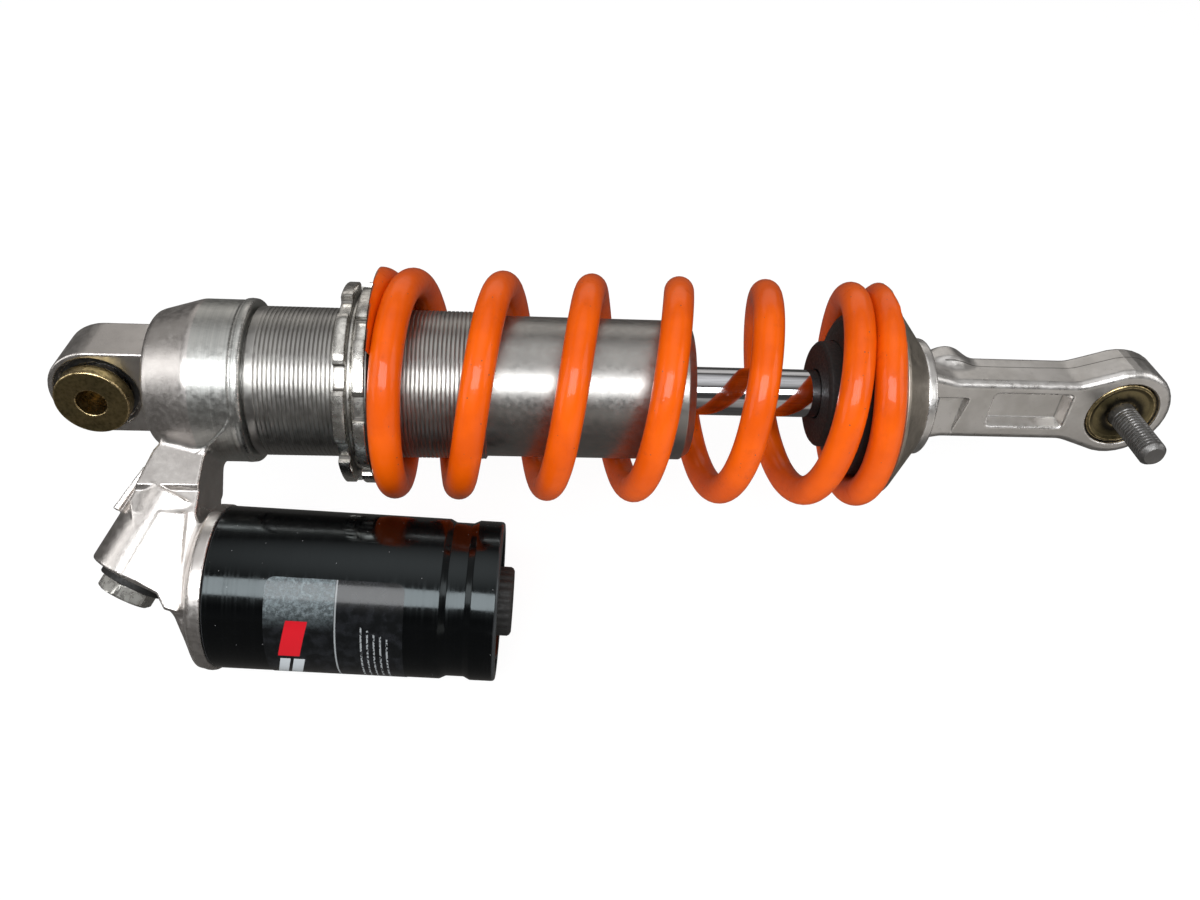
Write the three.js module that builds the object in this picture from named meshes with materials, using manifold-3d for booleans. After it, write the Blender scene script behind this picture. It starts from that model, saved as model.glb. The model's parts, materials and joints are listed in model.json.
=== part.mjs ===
// Motorcycle rear shock absorber with a piggyback gas reservoir, in millimetres.
// The shock axis is +X, from the upper eye to the lower eye. The eyes' pins lie along Y and +Z is up.
// Every piece is drawn from the centre of the upper eye, at full length, and the whole is then moved
// so that the part's origin lies on the near clamping face of the upper eye, beside the pin hole.

import * as THREE from "three";
import { mergeVertices } from "three/addons/utils/BufferGeometryUtils.js";
import Module from "manifold-3d";

const wasm = await Module();
wasm.setup();

// ---------------------------------------------------------------- dimensions

const EYE_TO_EYE = 376;
const ORIGIN = [8.6, -16.5, 0]; // the part's origin, measured from the centre of the upper eye
const RUN = 0.05; // clearance left between pieces that slide on or press into each other

// Facets round a turned piece. A hole has a whole multiple of the facets of what sits in it.
const FINE = 32;
const MEDIUM = 16;
const COARSE = 8;

// Upper lug and its spherical bearing.
const LUG_R = 16.6;
const LUG_HALF = 10.5;
const LUG_EDGE = 1.6;
const UPPER_BEARING = {
  at: 0,
  half: LUG_HALF,
  raceR: 13.1,
  raceHalf: 6,
  ballR: 11,
  ballHalf: 7,
  clipR: 13.9,
  clip: 1.2,
  mouthInR: 13.6,
  mouthR: 14.4,
  flangeR: 12.7,
  flangeIn: 11.4,
  flangeOut: 16.5,
};

// Lower eye and its spherical bearing.
const LOWER_BEARING = {
  at: EYE_TO_EYE,
  half: 9.5,
  raceR: 13.1,
  raceHalf: 4.8,
  ballR: 10.6,
  ballHalf: 6,
  clipR: 14.35,
  clip: 1,
  mouthInR: 13.85,
  mouthR: 13.9,
  flangeR: 13.1,
  flangeIn: 6.9,
  flangeOut: 9.2,
};
const PIN_R = 5; // M10 bolt
const PIN_HOLE_R = 5.15;
const NECK_R = 7.3; // spacer neck inside the ball

// Head casting.
const HEAD_START = 19.7;
const HEAD_START_R = 24.4;
const HEAD_CONE_END = 35.5;
const HEAD_R = 29;
const RING_START = 48;
const RING_R = 29.4;
const HEAD_END = 54.1;

// Damper tube.
const BORE_R = 23;
const TUBE_SPIGOT_START = 40;
const TUBE_SPIGOT_R = 25;
const TUBE_SHOULDER = 55.6;
const THREAD_R = 27; // M54 x 1.5, left plain at its outside radius
const THREAD_END = 136;
const TUBE_R = 25.9;
const TUBE_END = 210.2;
const TUBE_END_R = 23.9;

// Preload rings.
const LOCK_START = 86.2;
const ADJUST_START = 92.7;
const RIM = 4;
const RIM_R = 36.5;
const HUB_R = 31.2;
const NOTCHES = 8;
const NOTCH_DEPTH = 2.6;
const NOTCH_DEG = 14;
const LOCK_NOTCH_AT = 8; // degrees from -Y towards -Z
const ADJUST_NOTCH_AT = 25;

// Coil spring: left-handed, with end turns that lie flat on their seats and tapered tips.
const SPRING_R = 36.7;
const WIRE_R = 5.5;
const SEAT_START = 97.6;
const SEAT_END = 280.6;
const COIL_FIRST_TURN = 0.139; // turns past -Y where the wire begins
const COIL_LAST_TURN = 7.361;
const COIL_AT_TWO = 130.7; // the wire's place two turns past -Y
const OPEN_PITCH = 32.2;
const TIP_DROP = 11.2; // from an end turn to the tip that tapers away under it
const PITCH_BLEND = 4;

// Rod, piston and seals.
const ROD_R = 9;
const ROD_START = 152;
const ROD_STEP = 181;
const ROD_END = 304;
const ROD_TIP_R = 5;
const ROD_BORE_R = 2.6;
const PISTON_START = 166;
const PISTON_END = 178;

// Bump stop, spring guide and spring retainer.
const BUMP_START = 259;
const BUMP_R = 20;
const GUIDE_R = 30.4;
const RETAINER_RIM_R = 38;
const RETAINER_END = 294.2;

// Lower arm.
const FLANGE_START = 294.5;
const FLANGE_END = 298.3;
const FLANGE_R = 22;
const ARM_HALF = 9.5;
const ARM_HEIGHT = 26;
const LOWER_EYE_R = 19;
const ARM_EDGE = 1.6;
const ADJUSTER_BOSS = { x: 309, z: 9, r: 7.6, out: 11.5 };

// Reservoir, side by side with the tube and tilted slightly away from it.
const SIDE_DEG = 48; // from -Z towards -Y
const RES_START = 47.4;
const RES_OFFSET = 74;
const RES_TILT_DEG = 2.7;
const RES_LENGTH = 95.3;
const RES_R = 28;
const RES_BORE_R = 25;
const RES_GROOVE = [77, 85.5];
// Angles round the can run from -across towards the side.
const LABEL = { from: 19.8, to: 64.8, startDeg: -6.5, endDeg: 113 };

// Compression adjuster housing, in the plane of the two axes.
const ADJ_X = 15.8;
const ADJ_OUT = 71.6;
const ADJ_TILT_DEG = 27.4;
const ADJ_R = 15.5;
const HEX_AF = 19;

// ---------------------------------------------------------------- frames

const deg = THREE.MathUtils.degToRad;
const X = new THREE.Vector3(1, 0, 0);
const side = new THREE.Vector3(0, -Math.sin(deg(SIDE_DEG)), -Math.cos(deg(SIDE_DEG)));
const across = new THREE.Vector3().crossVectors(X, side);

// Side frame: x along the shock, y out towards the reservoir, z across the bridge.
const SIDE = new THREE.Matrix4().makeBasis(X, side, across);

// A matrix that carries a lathe's own axis (local +Y) from `from` towards `to`.
function axisFrame(from, to) {
  const turn = new THREE.Quaternion().setFromUnitVectors(
    new THREE.Vector3(0, 1, 0),
    to.clone().sub(from).normalize(),
  );
  return new THREE.Matrix4().compose(from, turn, new THREE.Vector3(1, 1, 1));
}

const inSide = (x, y, z = 0) => new THREE.Vector3(x, y, z).applyMatrix4(SIDE);
const ALONG_X = axisFrame(new THREE.Vector3(), X);
const RES = axisFrame(
  inSide(RES_START, RES_OFFSET),
  inSide(RES_START + Math.cos(deg(RES_TILT_DEG)), RES_OFFSET + Math.sin(deg(RES_TILT_DEG))),
);
const ADJ = axisFrame(
  inSide(ADJ_X, ADJ_OUT),
  inSide(ADJ_X - Math.sin(deg(ADJ_TILT_DEG)), ADJ_OUT + Math.cos(deg(ADJ_TILT_DEG))),
);

// ---------------------------------------------------------------- solids

// A three.js geometry as a manifold solid, turned right side out.
function solid(geometry, matrix = new THREE.Matrix4()) {
  const bare = new THREE.BufferGeometry();
  bare.setAttribute("position", geometry.getAttribute("position").clone());
  bare.setIndex(geometry.index);
  const merged = mergeVertices(bare.applyMatrix4(matrix), 1e-4);
  const index = merged.index.array;
  const triangles = [];
  for (let i = 0; i < index.length; i += 3) {
    const [a, b, c] = [index[i], index[i + 1], index[i + 2]];
    if (a !== b && b !== c && a !== c) triangles.push(a, b, c);
  }
  const build = () =>
    new wasm.Manifold(
      new wasm.Mesh({
        numProp: 3,
        vertProperties: new Float32Array(merged.attributes.position.array),
        triVerts: new Uint32Array(triangles),
      }),
    );
  const made = build();
  if (made.volume() > 0) return made;
  for (let i = 0; i < triangles.length; i += 3) {
    [triangles[i + 1], triangles[i + 2]] = [triangles[i + 2], triangles[i + 1]];
  }
  return build();
}

// A closed profile turned about a frame's axis. Each point is [distance along the axis, radius].
function lathe(profile, segments, frame) {
  const points = profile.map(([along, r]) => new THREE.Vector2(r, along));
  return solid(new THREE.LatheGeometry(points, segments), frame);
}

// A turned ring: the profile closes on itself.
const turned = (points, segments, frame = ALONG_X) => lathe([...points, points[0]], segments, frame);

// A turned disc: the profile starts and ends on the axis.
const disc = (points, segments, frame = ALONG_X) =>
  lathe([[points[0][0], 0], ...points, [points.at(-1)[0], 0]], segments, frame);

// A plain tube from a to b.
const tube = (a, b, inner, outer, segments, frame) =>
  turned([[a, inner], [a, outer], [b, outer], [b, inner]], segments, frame);

// A plain cylinder between two points.
function drill(from, to, r, segments = COARSE) {
  return disc([[0, r], [from.distanceTo(to), r]], segments, axisFrame(from, to));
}

// An outline of [x, y] points extruded by +-half along z, with a bevelled edge.
function slab(outline, half, bevel = 0, matrix = new THREE.Matrix4()) {
  const drawn = Array.isArray(outline)
    ? outline.map(([x, y]) => new THREE.Vector2(x, y))
    : outline.getPoints(12);
  const distinct = drawn.filter((p, i) => p.distanceTo(drawn[(i + 1) % drawn.length]) > 0.01);
  const geometry = new THREE.ExtrudeGeometry(new THREE.Shape(distinct), {
    depth: 2 * (half - bevel),
    bevelEnabled: bevel > 0,
    bevelThickness: bevel,
    bevelSize: bevel,
    bevelOffset: -bevel,
    bevelSegments: 1,
  });
  geometry.translate(0, 0, bevel - half);
  return solid(geometry, matrix);
}

// The XZ plane's own frame: an outline's x stays, its y becomes +Z, and it is extruded along Y.
const STANDING = new THREE.Matrix4().makeRotationX(Math.PI / 2);

const box = (w, h, d, x, y, z) => solid(new THREE.BoxGeometry(w, h, d).translate(x, y, z));

const join = (...parts) => wasm.Manifold.union(parts);
const cut = (body, ...tools) => wasm.Manifold.difference([body, ...tools]);

// ---------------------------------------------------------------- the object

const shock = new THREE.Group();
shock.name = "rear_shock";

const finish = (color, metalness, roughness) => ({ color, metalness, roughness });
const CAST = finish(0xb5aea8, 0.85, 0.42);
const TURNED = finish(0x9b968e, 0.9, 0.35);
const STEEL = finish(0x8d8b87, 0.9, 0.38);
const CHROME = finish(0xd8d8da, 1, 0.08);
const ZINC = finish(0x8f7b42, 0.85, 0.4);
const BLACK = finish(0x101114, 0.3, 0.22);
const RUBBER = finish(0x171513, 0, 0.8);
const ORANGE = finish(0xe84a06, 0, 0.3);
const RETAINER = finish(0x5d564c, 0.5, 0.6);
const BRONZE = finish(0x8c6239, 0.8, 0.4);
const PRINT = finish(0x202328, 0, 0.45);

function add(name, body, look) {
  const mesh = body.getMesh();
  const vertices = new Float32Array(mesh.numVert * 3);
  for (let i = 0; i < mesh.numVert; i++) {
    vertices.set(mesh.vertProperties.subarray(i * mesh.numProp, i * mesh.numProp + 3), i * 3);
  }
  const geometry = new THREE.BufferGeometry();
  geometry.setAttribute("position", new THREE.BufferAttribute(vertices, 3));
  geometry.setIndex(new THREE.BufferAttribute(new Uint32Array(mesh.triVerts), 1));
  const flat = geometry.toNonIndexed();
  flat.computeVertexNormals();
  const node = new THREE.Mesh(flat, new THREE.MeshStandardMaterial(look));
  node.name = name;
  shock.add(node);
}

// ---------------------------------------------------------------- eye bearings

// The hole an eye needs: race bore, mouths on both faces and a groove for each circlip.
function eyeHole(b) {
  const clipIn = b.raceHalf + 0.1;
  const clipOut = clipIn + b.clip + 0.2;
  const half = [
    [0, b.raceR + RUN],
    [clipIn, b.raceR + RUN],
    [clipIn, b.clipR + 0.15],
    [clipOut, b.clipR + 0.15],
    [clipOut, b.mouthInR],
    [b.half - 0.6, b.mouthR],
    [b.half + 1, b.mouthR + 0.5],
  ];
  const mirrored = half.slice(1).map(([y, r]) => [-y, r]);
  const frame = new THREE.Matrix4().makeTranslation(b.at, 0, 0);
  return disc([...mirrored.reverse(), ...half.slice(1)], MEDIUM, frame);
}

function bearing(name, b) {
  const frame = new THREE.Matrix4().makeTranslation(b.at, 0, 0);

  // Race: its inside is a sphere a little larger than the ball.
  const seatR = b.ballR + 0.3;
  const seatHalf = b.raceHalf - 0.4;
  const race = [[-b.raceHalf, b.raceR], [b.raceHalf, b.raceR]];
  for (let i = 3; i >= -3; i--) {
    const y = (seatHalf * i) / 3;
    race.push([y, Math.sqrt(seatR ** 2 - y ** 2)]);
  }
  add(name + "_race", turned(race, MEDIUM, frame), STEEL);

  // Ball: a sphere with two flats and a bore for the spacer necks.
  const ball = [[-b.ballHalf, NECK_R + 0.2]];
  for (let i = -4; i <= 4; i++) {
    const y = (b.ballHalf * i) / 4;
    ball.push([y, Math.sqrt(b.ballR ** 2 - y ** 2)]);
  }
  ball.push([b.ballHalf, NECK_R + 0.2]);
  add(name + "_ball", turned(ball, MEDIUM, frame), CHROME);

  for (const [end, s] of [["near", -1], ["far", 1]]) {
    const clip = tube(
      s * (b.raceHalf + 0.15),
      s * (b.raceHalf + 0.15 + b.clip),
      b.raceR - 1.7,
      b.clipR,
      MEDIUM,
      frame,
    );
    add(name + "_circlip_" + end, clip, STEEL);

    // Spacer: a dished flange outside and a neck that reaches the middle of the ball.
    const spacer = [
      [s * 0.15, PIN_HOLE_R],
      [s * 0.15, NECK_R],
      [s * (b.ballHalf + 0.1), NECK_R],
      [s * (b.ballHalf + 0.1), NECK_R + 1.6],
      [s * b.flangeIn, NECK_R + 1.6],
      [s * b.flangeIn, b.flangeR],
      [s * (b.flangeOut - 0.7), b.flangeR],
      [s * b.flangeOut, b.flangeR - 0.7],
      [s * b.flangeOut, PIN_HOLE_R],
    ];
    add(name + "_spacer_" + end, turned(spacer, MEDIUM, frame), ZINC);
  }
}

// ---------------------------------------------------------------- head casting

function lug() {
  const shape = new THREE.Shape();
  shape.moveTo(HEAD_START + 8, LUG_R);
  shape.lineTo(0, LUG_R);
  shape.absarc(0, 0, LUG_R, Math.PI / 2, (3 * Math.PI) / 2, false);
  shape.lineTo(HEAD_START + 8, -LUG_R);
  return slab(shape, LUG_HALF, LUG_EDGE, STANDING);
}

function headBarrel() {
  return disc(
    [
      [HEAD_START, HEAD_START_R - 1.5],
      [HEAD_START + 1.5, HEAD_START_R],
      [HEAD_CONE_END, HEAD_R],
      [RING_START, HEAD_R],
      [RING_START, RING_R],
      [HEAD_END - 1, RING_R],
      [HEAD_END, RING_R - 1],
    ],
    FINE,
  );
}

// The neck that leaves the head, then the flat-sided block that carries the adjuster and the cap.
function bridge() {
  const neck = slab(
    [[29, 18], [41, 18], [39.6, 32], [39.2, 50], [42.5, 60], [44, 72], [24, 72], [16.5, 46], [22, 28]],
    13,
    1,
    SIDE,
  );
  const block = slab(
    [[22, 45], [36, 49], [39, 66], [39, 84], [32, 82.8], [28.5, 79.5], [20, 60]],
    15,
    1.6,
    SIDE,
  );
  const housing = disc([[-32, ADJ_R], [-1.6, ADJ_R], [0, ADJ_R - 1.6]], FINE, ADJ);
  const trimmed = cut(housing, box(30, 60, 60, 55, 50, 0).transform(SIDE.toArray()));
  const cap = disc(
    [
      [-16.4, 7.5],
      [-12.4, 15.8],
      [-6.8, 25.6],
      [-4.2, 28.4],
      [-0.3, 28.4],
      [-0.3, RES_BORE_R - 0.3],
      [8, RES_BORE_R - 0.3],
    ],
    FINE,
    RES,
  );
  return join(neck, block, trimmed, cap);
}

function headCasting() {
  const damperBore = disc(
    [
      [HEAD_START + 15, BORE_R - 6],
      [HEAD_START + 17, BORE_R],
      [TUBE_SPIGOT_START - 0.3, BORE_R],
      [TUBE_SPIGOT_START - 0.3, TUBE_SPIGOT_R + RUN],
      [HEAD_END + 1, TUBE_SPIGOT_R + RUN],
    ],
    FINE,
  );
  const valveBore = disc([[-26, 6], [-22, 9.3], [1, 9.3]], MEDIUM, ADJ);
  const damperGallery = drill(inSide(28.5, 47), inSide(36.5, 18), 3);
  const reservoirGallery = drill(inSide(23, 58), inSide(60, 76.5), 3.5);
  return cut(
    join(lug(), headBarrel(), bridge()),
    eyeHole(UPPER_BEARING),
    damperBore,
    valveBore,
    damperGallery,
    reservoirGallery,
  );
}

// ---------------------------------------------------------------- damper tube and seals

function damperTube() {
  return turned(
    [
      [TUBE_SPIGOT_START, BORE_R],
      [TUBE_SPIGOT_START, TUBE_SPIGOT_R],
      [TUBE_SHOULDER - 1, TUBE_SPIGOT_R],
      [TUBE_SHOULDER, THREAD_R],
      [THREAD_END, THREAD_R],
      [THREAD_END + 1, TUBE_R],
      [TUBE_END - 2.6, TUBE_R],
      [TUBE_END, TUBE_END_R],
      [TUBE_END, BORE_R],
      [207.6, BORE_R],
      [207.6, BORE_R + 0.9],
      [206.2, BORE_R + 0.9],
      [206.2, BORE_R],
    ],
    FINE,
  );
}

function seals() {
  const bush = [193, 200.6];
  const seal = [201, 204.4];
  const carrier = turned(
    [
      [191, ROD_R + 0.3],
      [191, BORE_R - RUN],
      [206, BORE_R - RUN],
      [206, ROD_R + 0.3],
      [204.6, ROD_R + 0.3],
      [204.6, 13.2],
      [200.8, 13.2],
      [200.8, 10.6],
      [192.8, 10.6],
      [192.8, ROD_R + 0.3],
    ],
    MEDIUM,
  );
  add("seal_head", carrier, TURNED);
  add("rod_bushing", tube(...bush, ROD_R + RUN, 10.5, MEDIUM), BRONZE);
  add("rod_seal", tube(...seal, ROD_R + RUN, 13.1, MEDIUM), RUBBER);
  add("seal_head_circlip", tube(206.3, 207.5, 21, BORE_R + 0.8, MEDIUM), STEEL);
  const dustCap = turned(
    [[207.7, 13], [207.7, BORE_R - RUN], [209.4, BORE_R - RUN], [209.9, BORE_R - 0.6], [209.9, 13]],
    MEDIUM,
  );
  add("dust_cap", dustCap, BLACK);
  const wiper = turned(
    [[206.3, ROD_R + 0.3], [206.3, 12.8], [210, 12.8], [210.8, ROD_R + 0.2], [209.6, ROD_R + 0.2]],
    MEDIUM,
  );
  add("rod_wiper", wiper, RUBBER);
}

// ---------------------------------------------------------------- preload rings and spring

// One notch, centred `at` degrees round from -Y towards -Z, across the whole of a ring.
function notch(at, start) {
  const inner = RIM_R - NOTCH_DEPTH;
  const half = deg(NOTCH_DEG / 2);
  const corner = (r, a) => [-r * Math.cos(a), -r * Math.sin(a)];
  const a = deg(at);
  const outline = [
    corner(inner, a - half),
    corner(RIM_R + 2, a - half),
    corner(RIM_R + 2, a + half),
    corner(inner, a + half),
  ];
  const lying = new THREE.Matrix4().makeBasis(
    new THREE.Vector3(0, 1, 0),
    new THREE.Vector3(0, 0, 1),
    X,
  );
  return slab(outline, RIM, 0, lying.setPosition(start + RIM / 2, 0, 0));
}

function preloadRing(start, hub, notchAt) {
  const ends = [start - 0.2, start + RIM + 0.2].map((x, i) => x + hub[i]);
  const body = turned(
    [
      [ends[0], THREAD_R + 0.15],
      [ends[0], HUB_R],
      [start, HUB_R],
      [start, RIM_R - 0.5],
      [start + 0.5, RIM_R],
      [start + RIM - 0.5, RIM_R],
      [start + RIM, RIM_R - 0.5],
      [start + RIM, HUB_R],
      [ends[1], HUB_R],
      [ends[1], THREAD_R + 0.15],
    ],
    FINE,
  );
  const notches = [];
  for (let i = 0; i < NOTCHES; i++) notches.push(notch(notchAt + (360 * i) / NOTCHES, start));
  return cut(body, ...notches);
}

// The larger of two lengths, or the smaller for a negative blend, eased over where they cross.
function eased(a, b, blend) {
  const size = Math.abs(blend);
  const near = Math.max(size - Math.abs(a - b), 0) / size;
  return (blend > 0 ? Math.max(a, b) : Math.min(a, b)) + (near * near * blend) / 4;
}

// Where the wire's centre is after `turn` turns: open coils between two end turns that lie flat.
function coilMiddle(turn) {
  const open = COIL_AT_TWO + OPEN_PITCH * (turn - 2);
  const rising = eased(SEAT_START + WIRE_R, open, PITCH_BLEND);
  return eased(SEAT_END - WIRE_R, rising, -PITCH_BLEND);
}

function coilAlong(turn) {
  const here = coilMiddle(turn);
  if (turn < 1) return eased(here, coilMiddle(turn + 1) - TIP_DROP, -1);
  if (turn > COIL_LAST_TURN - 1) return eased(here, coilMiddle(turn - 1) + TIP_DROP, 1);
  return here;
}

class CoilPath extends THREE.Curve {
  getPoint(t, target = new THREE.Vector3()) {
    const turn = THREE.MathUtils.lerp(COIL_FIRST_TURN, COIL_LAST_TURN, t);
    const a = 2 * Math.PI * turn;
    return target.set(coilAlong(turn), -SPRING_R * Math.cos(a), SPRING_R * Math.sin(a));
  }
}

function spring() {
  const wire = new THREE.Shape().absarc(0, 0, WIRE_R, 0, 2 * Math.PI, false);
  const sweep = new THREE.ExtrudeGeometry(wire, {
    steps: 120,
    curveSegments: 4,
    extrudePath: new CoilPath(),
  });
  return solid(sweep)
    .trimByPlane([1, 0, 0], SEAT_START + RUN)
    .trimByPlane([-1, 0, 0], -(SEAT_END - RUN));
}

// ---------------------------------------------------------------- rod and piston

function hexBar(from, to, acrossFlats, frame, bore = 0) {
  const bar = disc([[from, acrossFlats / Math.sqrt(3)], [to, acrossFlats / Math.sqrt(3)]], 6, frame);
  if (!bore) return bar;
  return cut(bar, disc([[from - 1, bore], [to + 1, bore]], MEDIUM, frame));
}

function rodAssembly() {
  const rod = turned(
    [
      [ROD_START, ROD_BORE_R],
      [ROD_START, ROD_TIP_R],
      [ROD_STEP, ROD_TIP_R],
      [ROD_STEP, ROD_R],
      [ROD_END, ROD_R],
      [ROD_END, ROD_BORE_R],
    ],
    MEDIUM,
  );
  add("piston_rod", rod, CHROME);
  add("rebound_rod", disc([[160, 0.8], [163, 2.2], [306, 2.2]], COARSE), STEEL);

  const groove = BORE_R - 1.6;
  const piston = turned(
    [
      [PISTON_START, ROD_TIP_R + RUN],
      [PISTON_START, BORE_R - 0.3],
      [PISTON_START + 3, BORE_R - 0.3],
      [PISTON_START + 3, groove],
      [PISTON_END - 3, groove],
      [PISTON_END - 3, BORE_R - 0.3],
      [PISTON_END, BORE_R - 0.3],
      [PISTON_END, ROD_TIP_R + RUN],
    ],
    MEDIUM,
  );
  const ports = [];
  for (let i = 0; i < 4; i++) {
    const a = (i * Math.PI) / 2;
    const at = (x) => new THREE.Vector3(x, 14 * Math.cos(a), 14 * Math.sin(a));
    ports.push(drill(at(PISTON_START - 1), at(PISTON_END + 1), 2.6, COARSE));
  }
  add("piston", cut(piston, ...ports), TURNED);
  const band = tube(PISTON_START + 3.1, PISTON_END - 3.1, groove + RUN, BORE_R - RUN, MEDIUM);
  add("piston_band", band, BRONZE);

  // Shim stacks: discs that get smaller away from the piston.
  const stack = (face, way) =>
    turned(
      [
        [face, ROD_TIP_R + RUN],
        [face, 18],
        [face + way * 1.1, 18],
        [face + way * 1.1, 14.5],
        [face + way * 2, 14.5],
        [face + way * 2, 11],
        [face + way * 2.7, 11],
        [face + way * 2.7, ROD_TIP_R + RUN],
      ],
      MEDIUM,
    );
  add("rebound_shims", stack(PISTON_START - 0.1, -1), STEEL);
  add("compression_shims", stack(PISTON_END + 0.1, 1), STEEL);
  add("piston_nut", hexBar(155.5, 163, 17, ALONG_X, ROD_TIP_R + RUN), STEEL);
}

// ---------------------------------------------------------------- spring retainer and bump stop

function bumpAndRetainer() {
  const nest = 276;
  const bump = turned(
    [
      [BUMP_START, ROD_R + 0.4],
      [BUMP_START, BUMP_R - 2],
      [BUMP_START + 2, BUMP_R],
      [nest - 0.2, BUMP_R],
      [nest - 0.2, ROD_R + 0.4],
    ],
    MEDIUM,
  );
  add("bump_stop", bump, RUBBER);

  const guide = turned(
    [
      [265, BUMP_R + 0.2],
      [268.4, GUIDE_R - 0.6],
      [269.4, GUIDE_R],
      [SEAT_END, GUIDE_R],
      [SEAT_END, ROD_R + 0.4],
      [nest, ROD_R + 0.4],
      [nest, BUMP_R + 0.2],
    ],
    FINE,
  );
  add("spring_guide", guide, BLACK);

  const hubR = 12.2;
  const retainer = turned(
    [
      [SEAT_END + RUN, hubR],
      [SEAT_END + RUN, RETAINER_RIM_R - 0.4],
      [SEAT_END + 0.5, RETAINER_RIM_R],
      [SEAT_END + 1.6, RETAINER_RIM_R - 0.3],
      [RETAINER_END - 0.8, 24],
      [RETAINER_END, 23],
      [RETAINER_END, hubR],
    ],
    FINE,
  );
  add("spring_retainer", retainer, RETAINER);
}

// ---------------------------------------------------------------- lower arm

function armOutline() {
  const half = ARM_HEIGHT / 2;
  const taper = FLANGE_END + 10; // where the widening at the flange has died out
  const flare = EYE_TO_EYE - 20; // where the arm begins to widen towards the eye
  const eyeAt = deg(115);
  const eye = [EYE_TO_EYE + LOWER_EYE_R * Math.cos(eyeAt), LOWER_EYE_R * Math.sin(eyeAt)];
  const shape = new THREE.Shape();
  shape.moveTo(FLANGE_START + 0.4, 15.4);
  shape.lineTo(FLANGE_END, 15.4);
  shape.quadraticCurveTo(FLANGE_END + 4, half, taper, half);
  shape.lineTo(flare, half);
  shape.quadraticCurveTo(flare + 7, half, ...eye);
  shape.absarc(EYE_TO_EYE, 0, LOWER_EYE_R, eyeAt, -eyeAt, true);
  shape.quadraticCurveTo(flare + 7, -half, flare, -half);
  shape.lineTo(taper, -half);
  shape.quadraticCurveTo(FLANGE_END + 4, -half, FLANGE_END, -15.4);
  shape.lineTo(FLANGE_START + 0.4, -15.4);
  return shape;
}

// A pocket with chamfered corners, sunk `depth` into the near or far face.
function pocket(x0, x1, z0, z1, depth, s) {
  const c = 1.6;
  const outline = [
    [x0 + c, z0],
    [x1 - c, z0],
    [x1, z0 + c],
    [x1, z1 - c],
    [x1 - c, z1],
    [x0 + c, z1],
    [x0, z1 - c],
    [x0, z0 + c],
  ];
  const frame = new THREE.Matrix4().makeTranslation(0, s * (ARM_HALF - depth + 5), 0);
  return slab(outline, 5, 0, frame.multiply(STANDING));
}

function lowerArm() {
  const boss = ADJUSTER_BOSS;
  const hub = disc(
    [
      [SEAT_END + 2, 12],
      [FLANGE_START, 12],
      [FLANGE_START, FLANGE_R - 0.8],
      [FLANGE_START + 0.8, FLANGE_R],
      [FLANGE_END - 0.8, FLANGE_R],
      [FLANGE_END, FLANGE_R - 0.8],
    ],
    FINE,
  );
  const at = (y) => new THREE.Vector3(boss.x, y, boss.z);
  const solidArm = join(
    hub,
    slab(armOutline(), ARM_HALF, ARM_EDGE, STANDING),
    drill(at(-6), at(boss.out), boss.r, MEDIUM),
  );
  const rodSocket = disc([[SEAT_END, ROD_R + RUN], [ROD_END + 0.4, ROD_R + RUN]], MEDIUM);
  const rodPassage = disc([[ROD_END, 3], [ROD_END + 8, 3]], COARSE);
  const screwHole = drill(at(0), at(boss.out + 1), 4.4, MEDIUM);
  const link = drill(new THREE.Vector3(boss.x, 2, 0), at(2), 3, COARSE);
  return cut(
    solidArm,
    eyeHole(LOWER_BEARING),
    rodSocket,
    rodPassage,
    screwHole,
    link,
    pocket(324.5, 354, -6.2, 7.8, 3.2, -1),
    pocket(324.5, 354, -6.2, 7.8, 3.2, 1),
    pocket(297, 314.8, -9.2, 5.8, 2.6, -1),
  );
}

function reboundAdjuster() {
  const boss = ADJUSTER_BOSS;
  const at = (y) => new THREE.Vector3(boss.x, y, boss.z);
  const screw = drill(at(3), at(boss.out - 0.6), 4.2, MEDIUM);
  return cut(screw, box(9, 2, 1.3, boss.x, boss.out - 0.6, boss.z));
}

function lowerBolt() {
  const tip = -34.8;
  const seat = LOWER_BEARING.flangeOut + 0.1;
  const frame = new THREE.Matrix4().makeTranslation(EYE_TO_EYE, 0, 0);
  const shank = disc([[tip, PIN_R - 1.2], [tip + 1.4, PIN_R], [seat + 1, PIN_R]], MEDIUM, frame);
  const flange = disc([[seat, 11], [seat + 1.6, 11], [seat + 2.6, 9.4]], MEDIUM, frame);
  return join(shank, flange, hexBar(seat + 2, seat + 9, 15, frame));
}

// ---------------------------------------------------------------- reservoir

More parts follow.
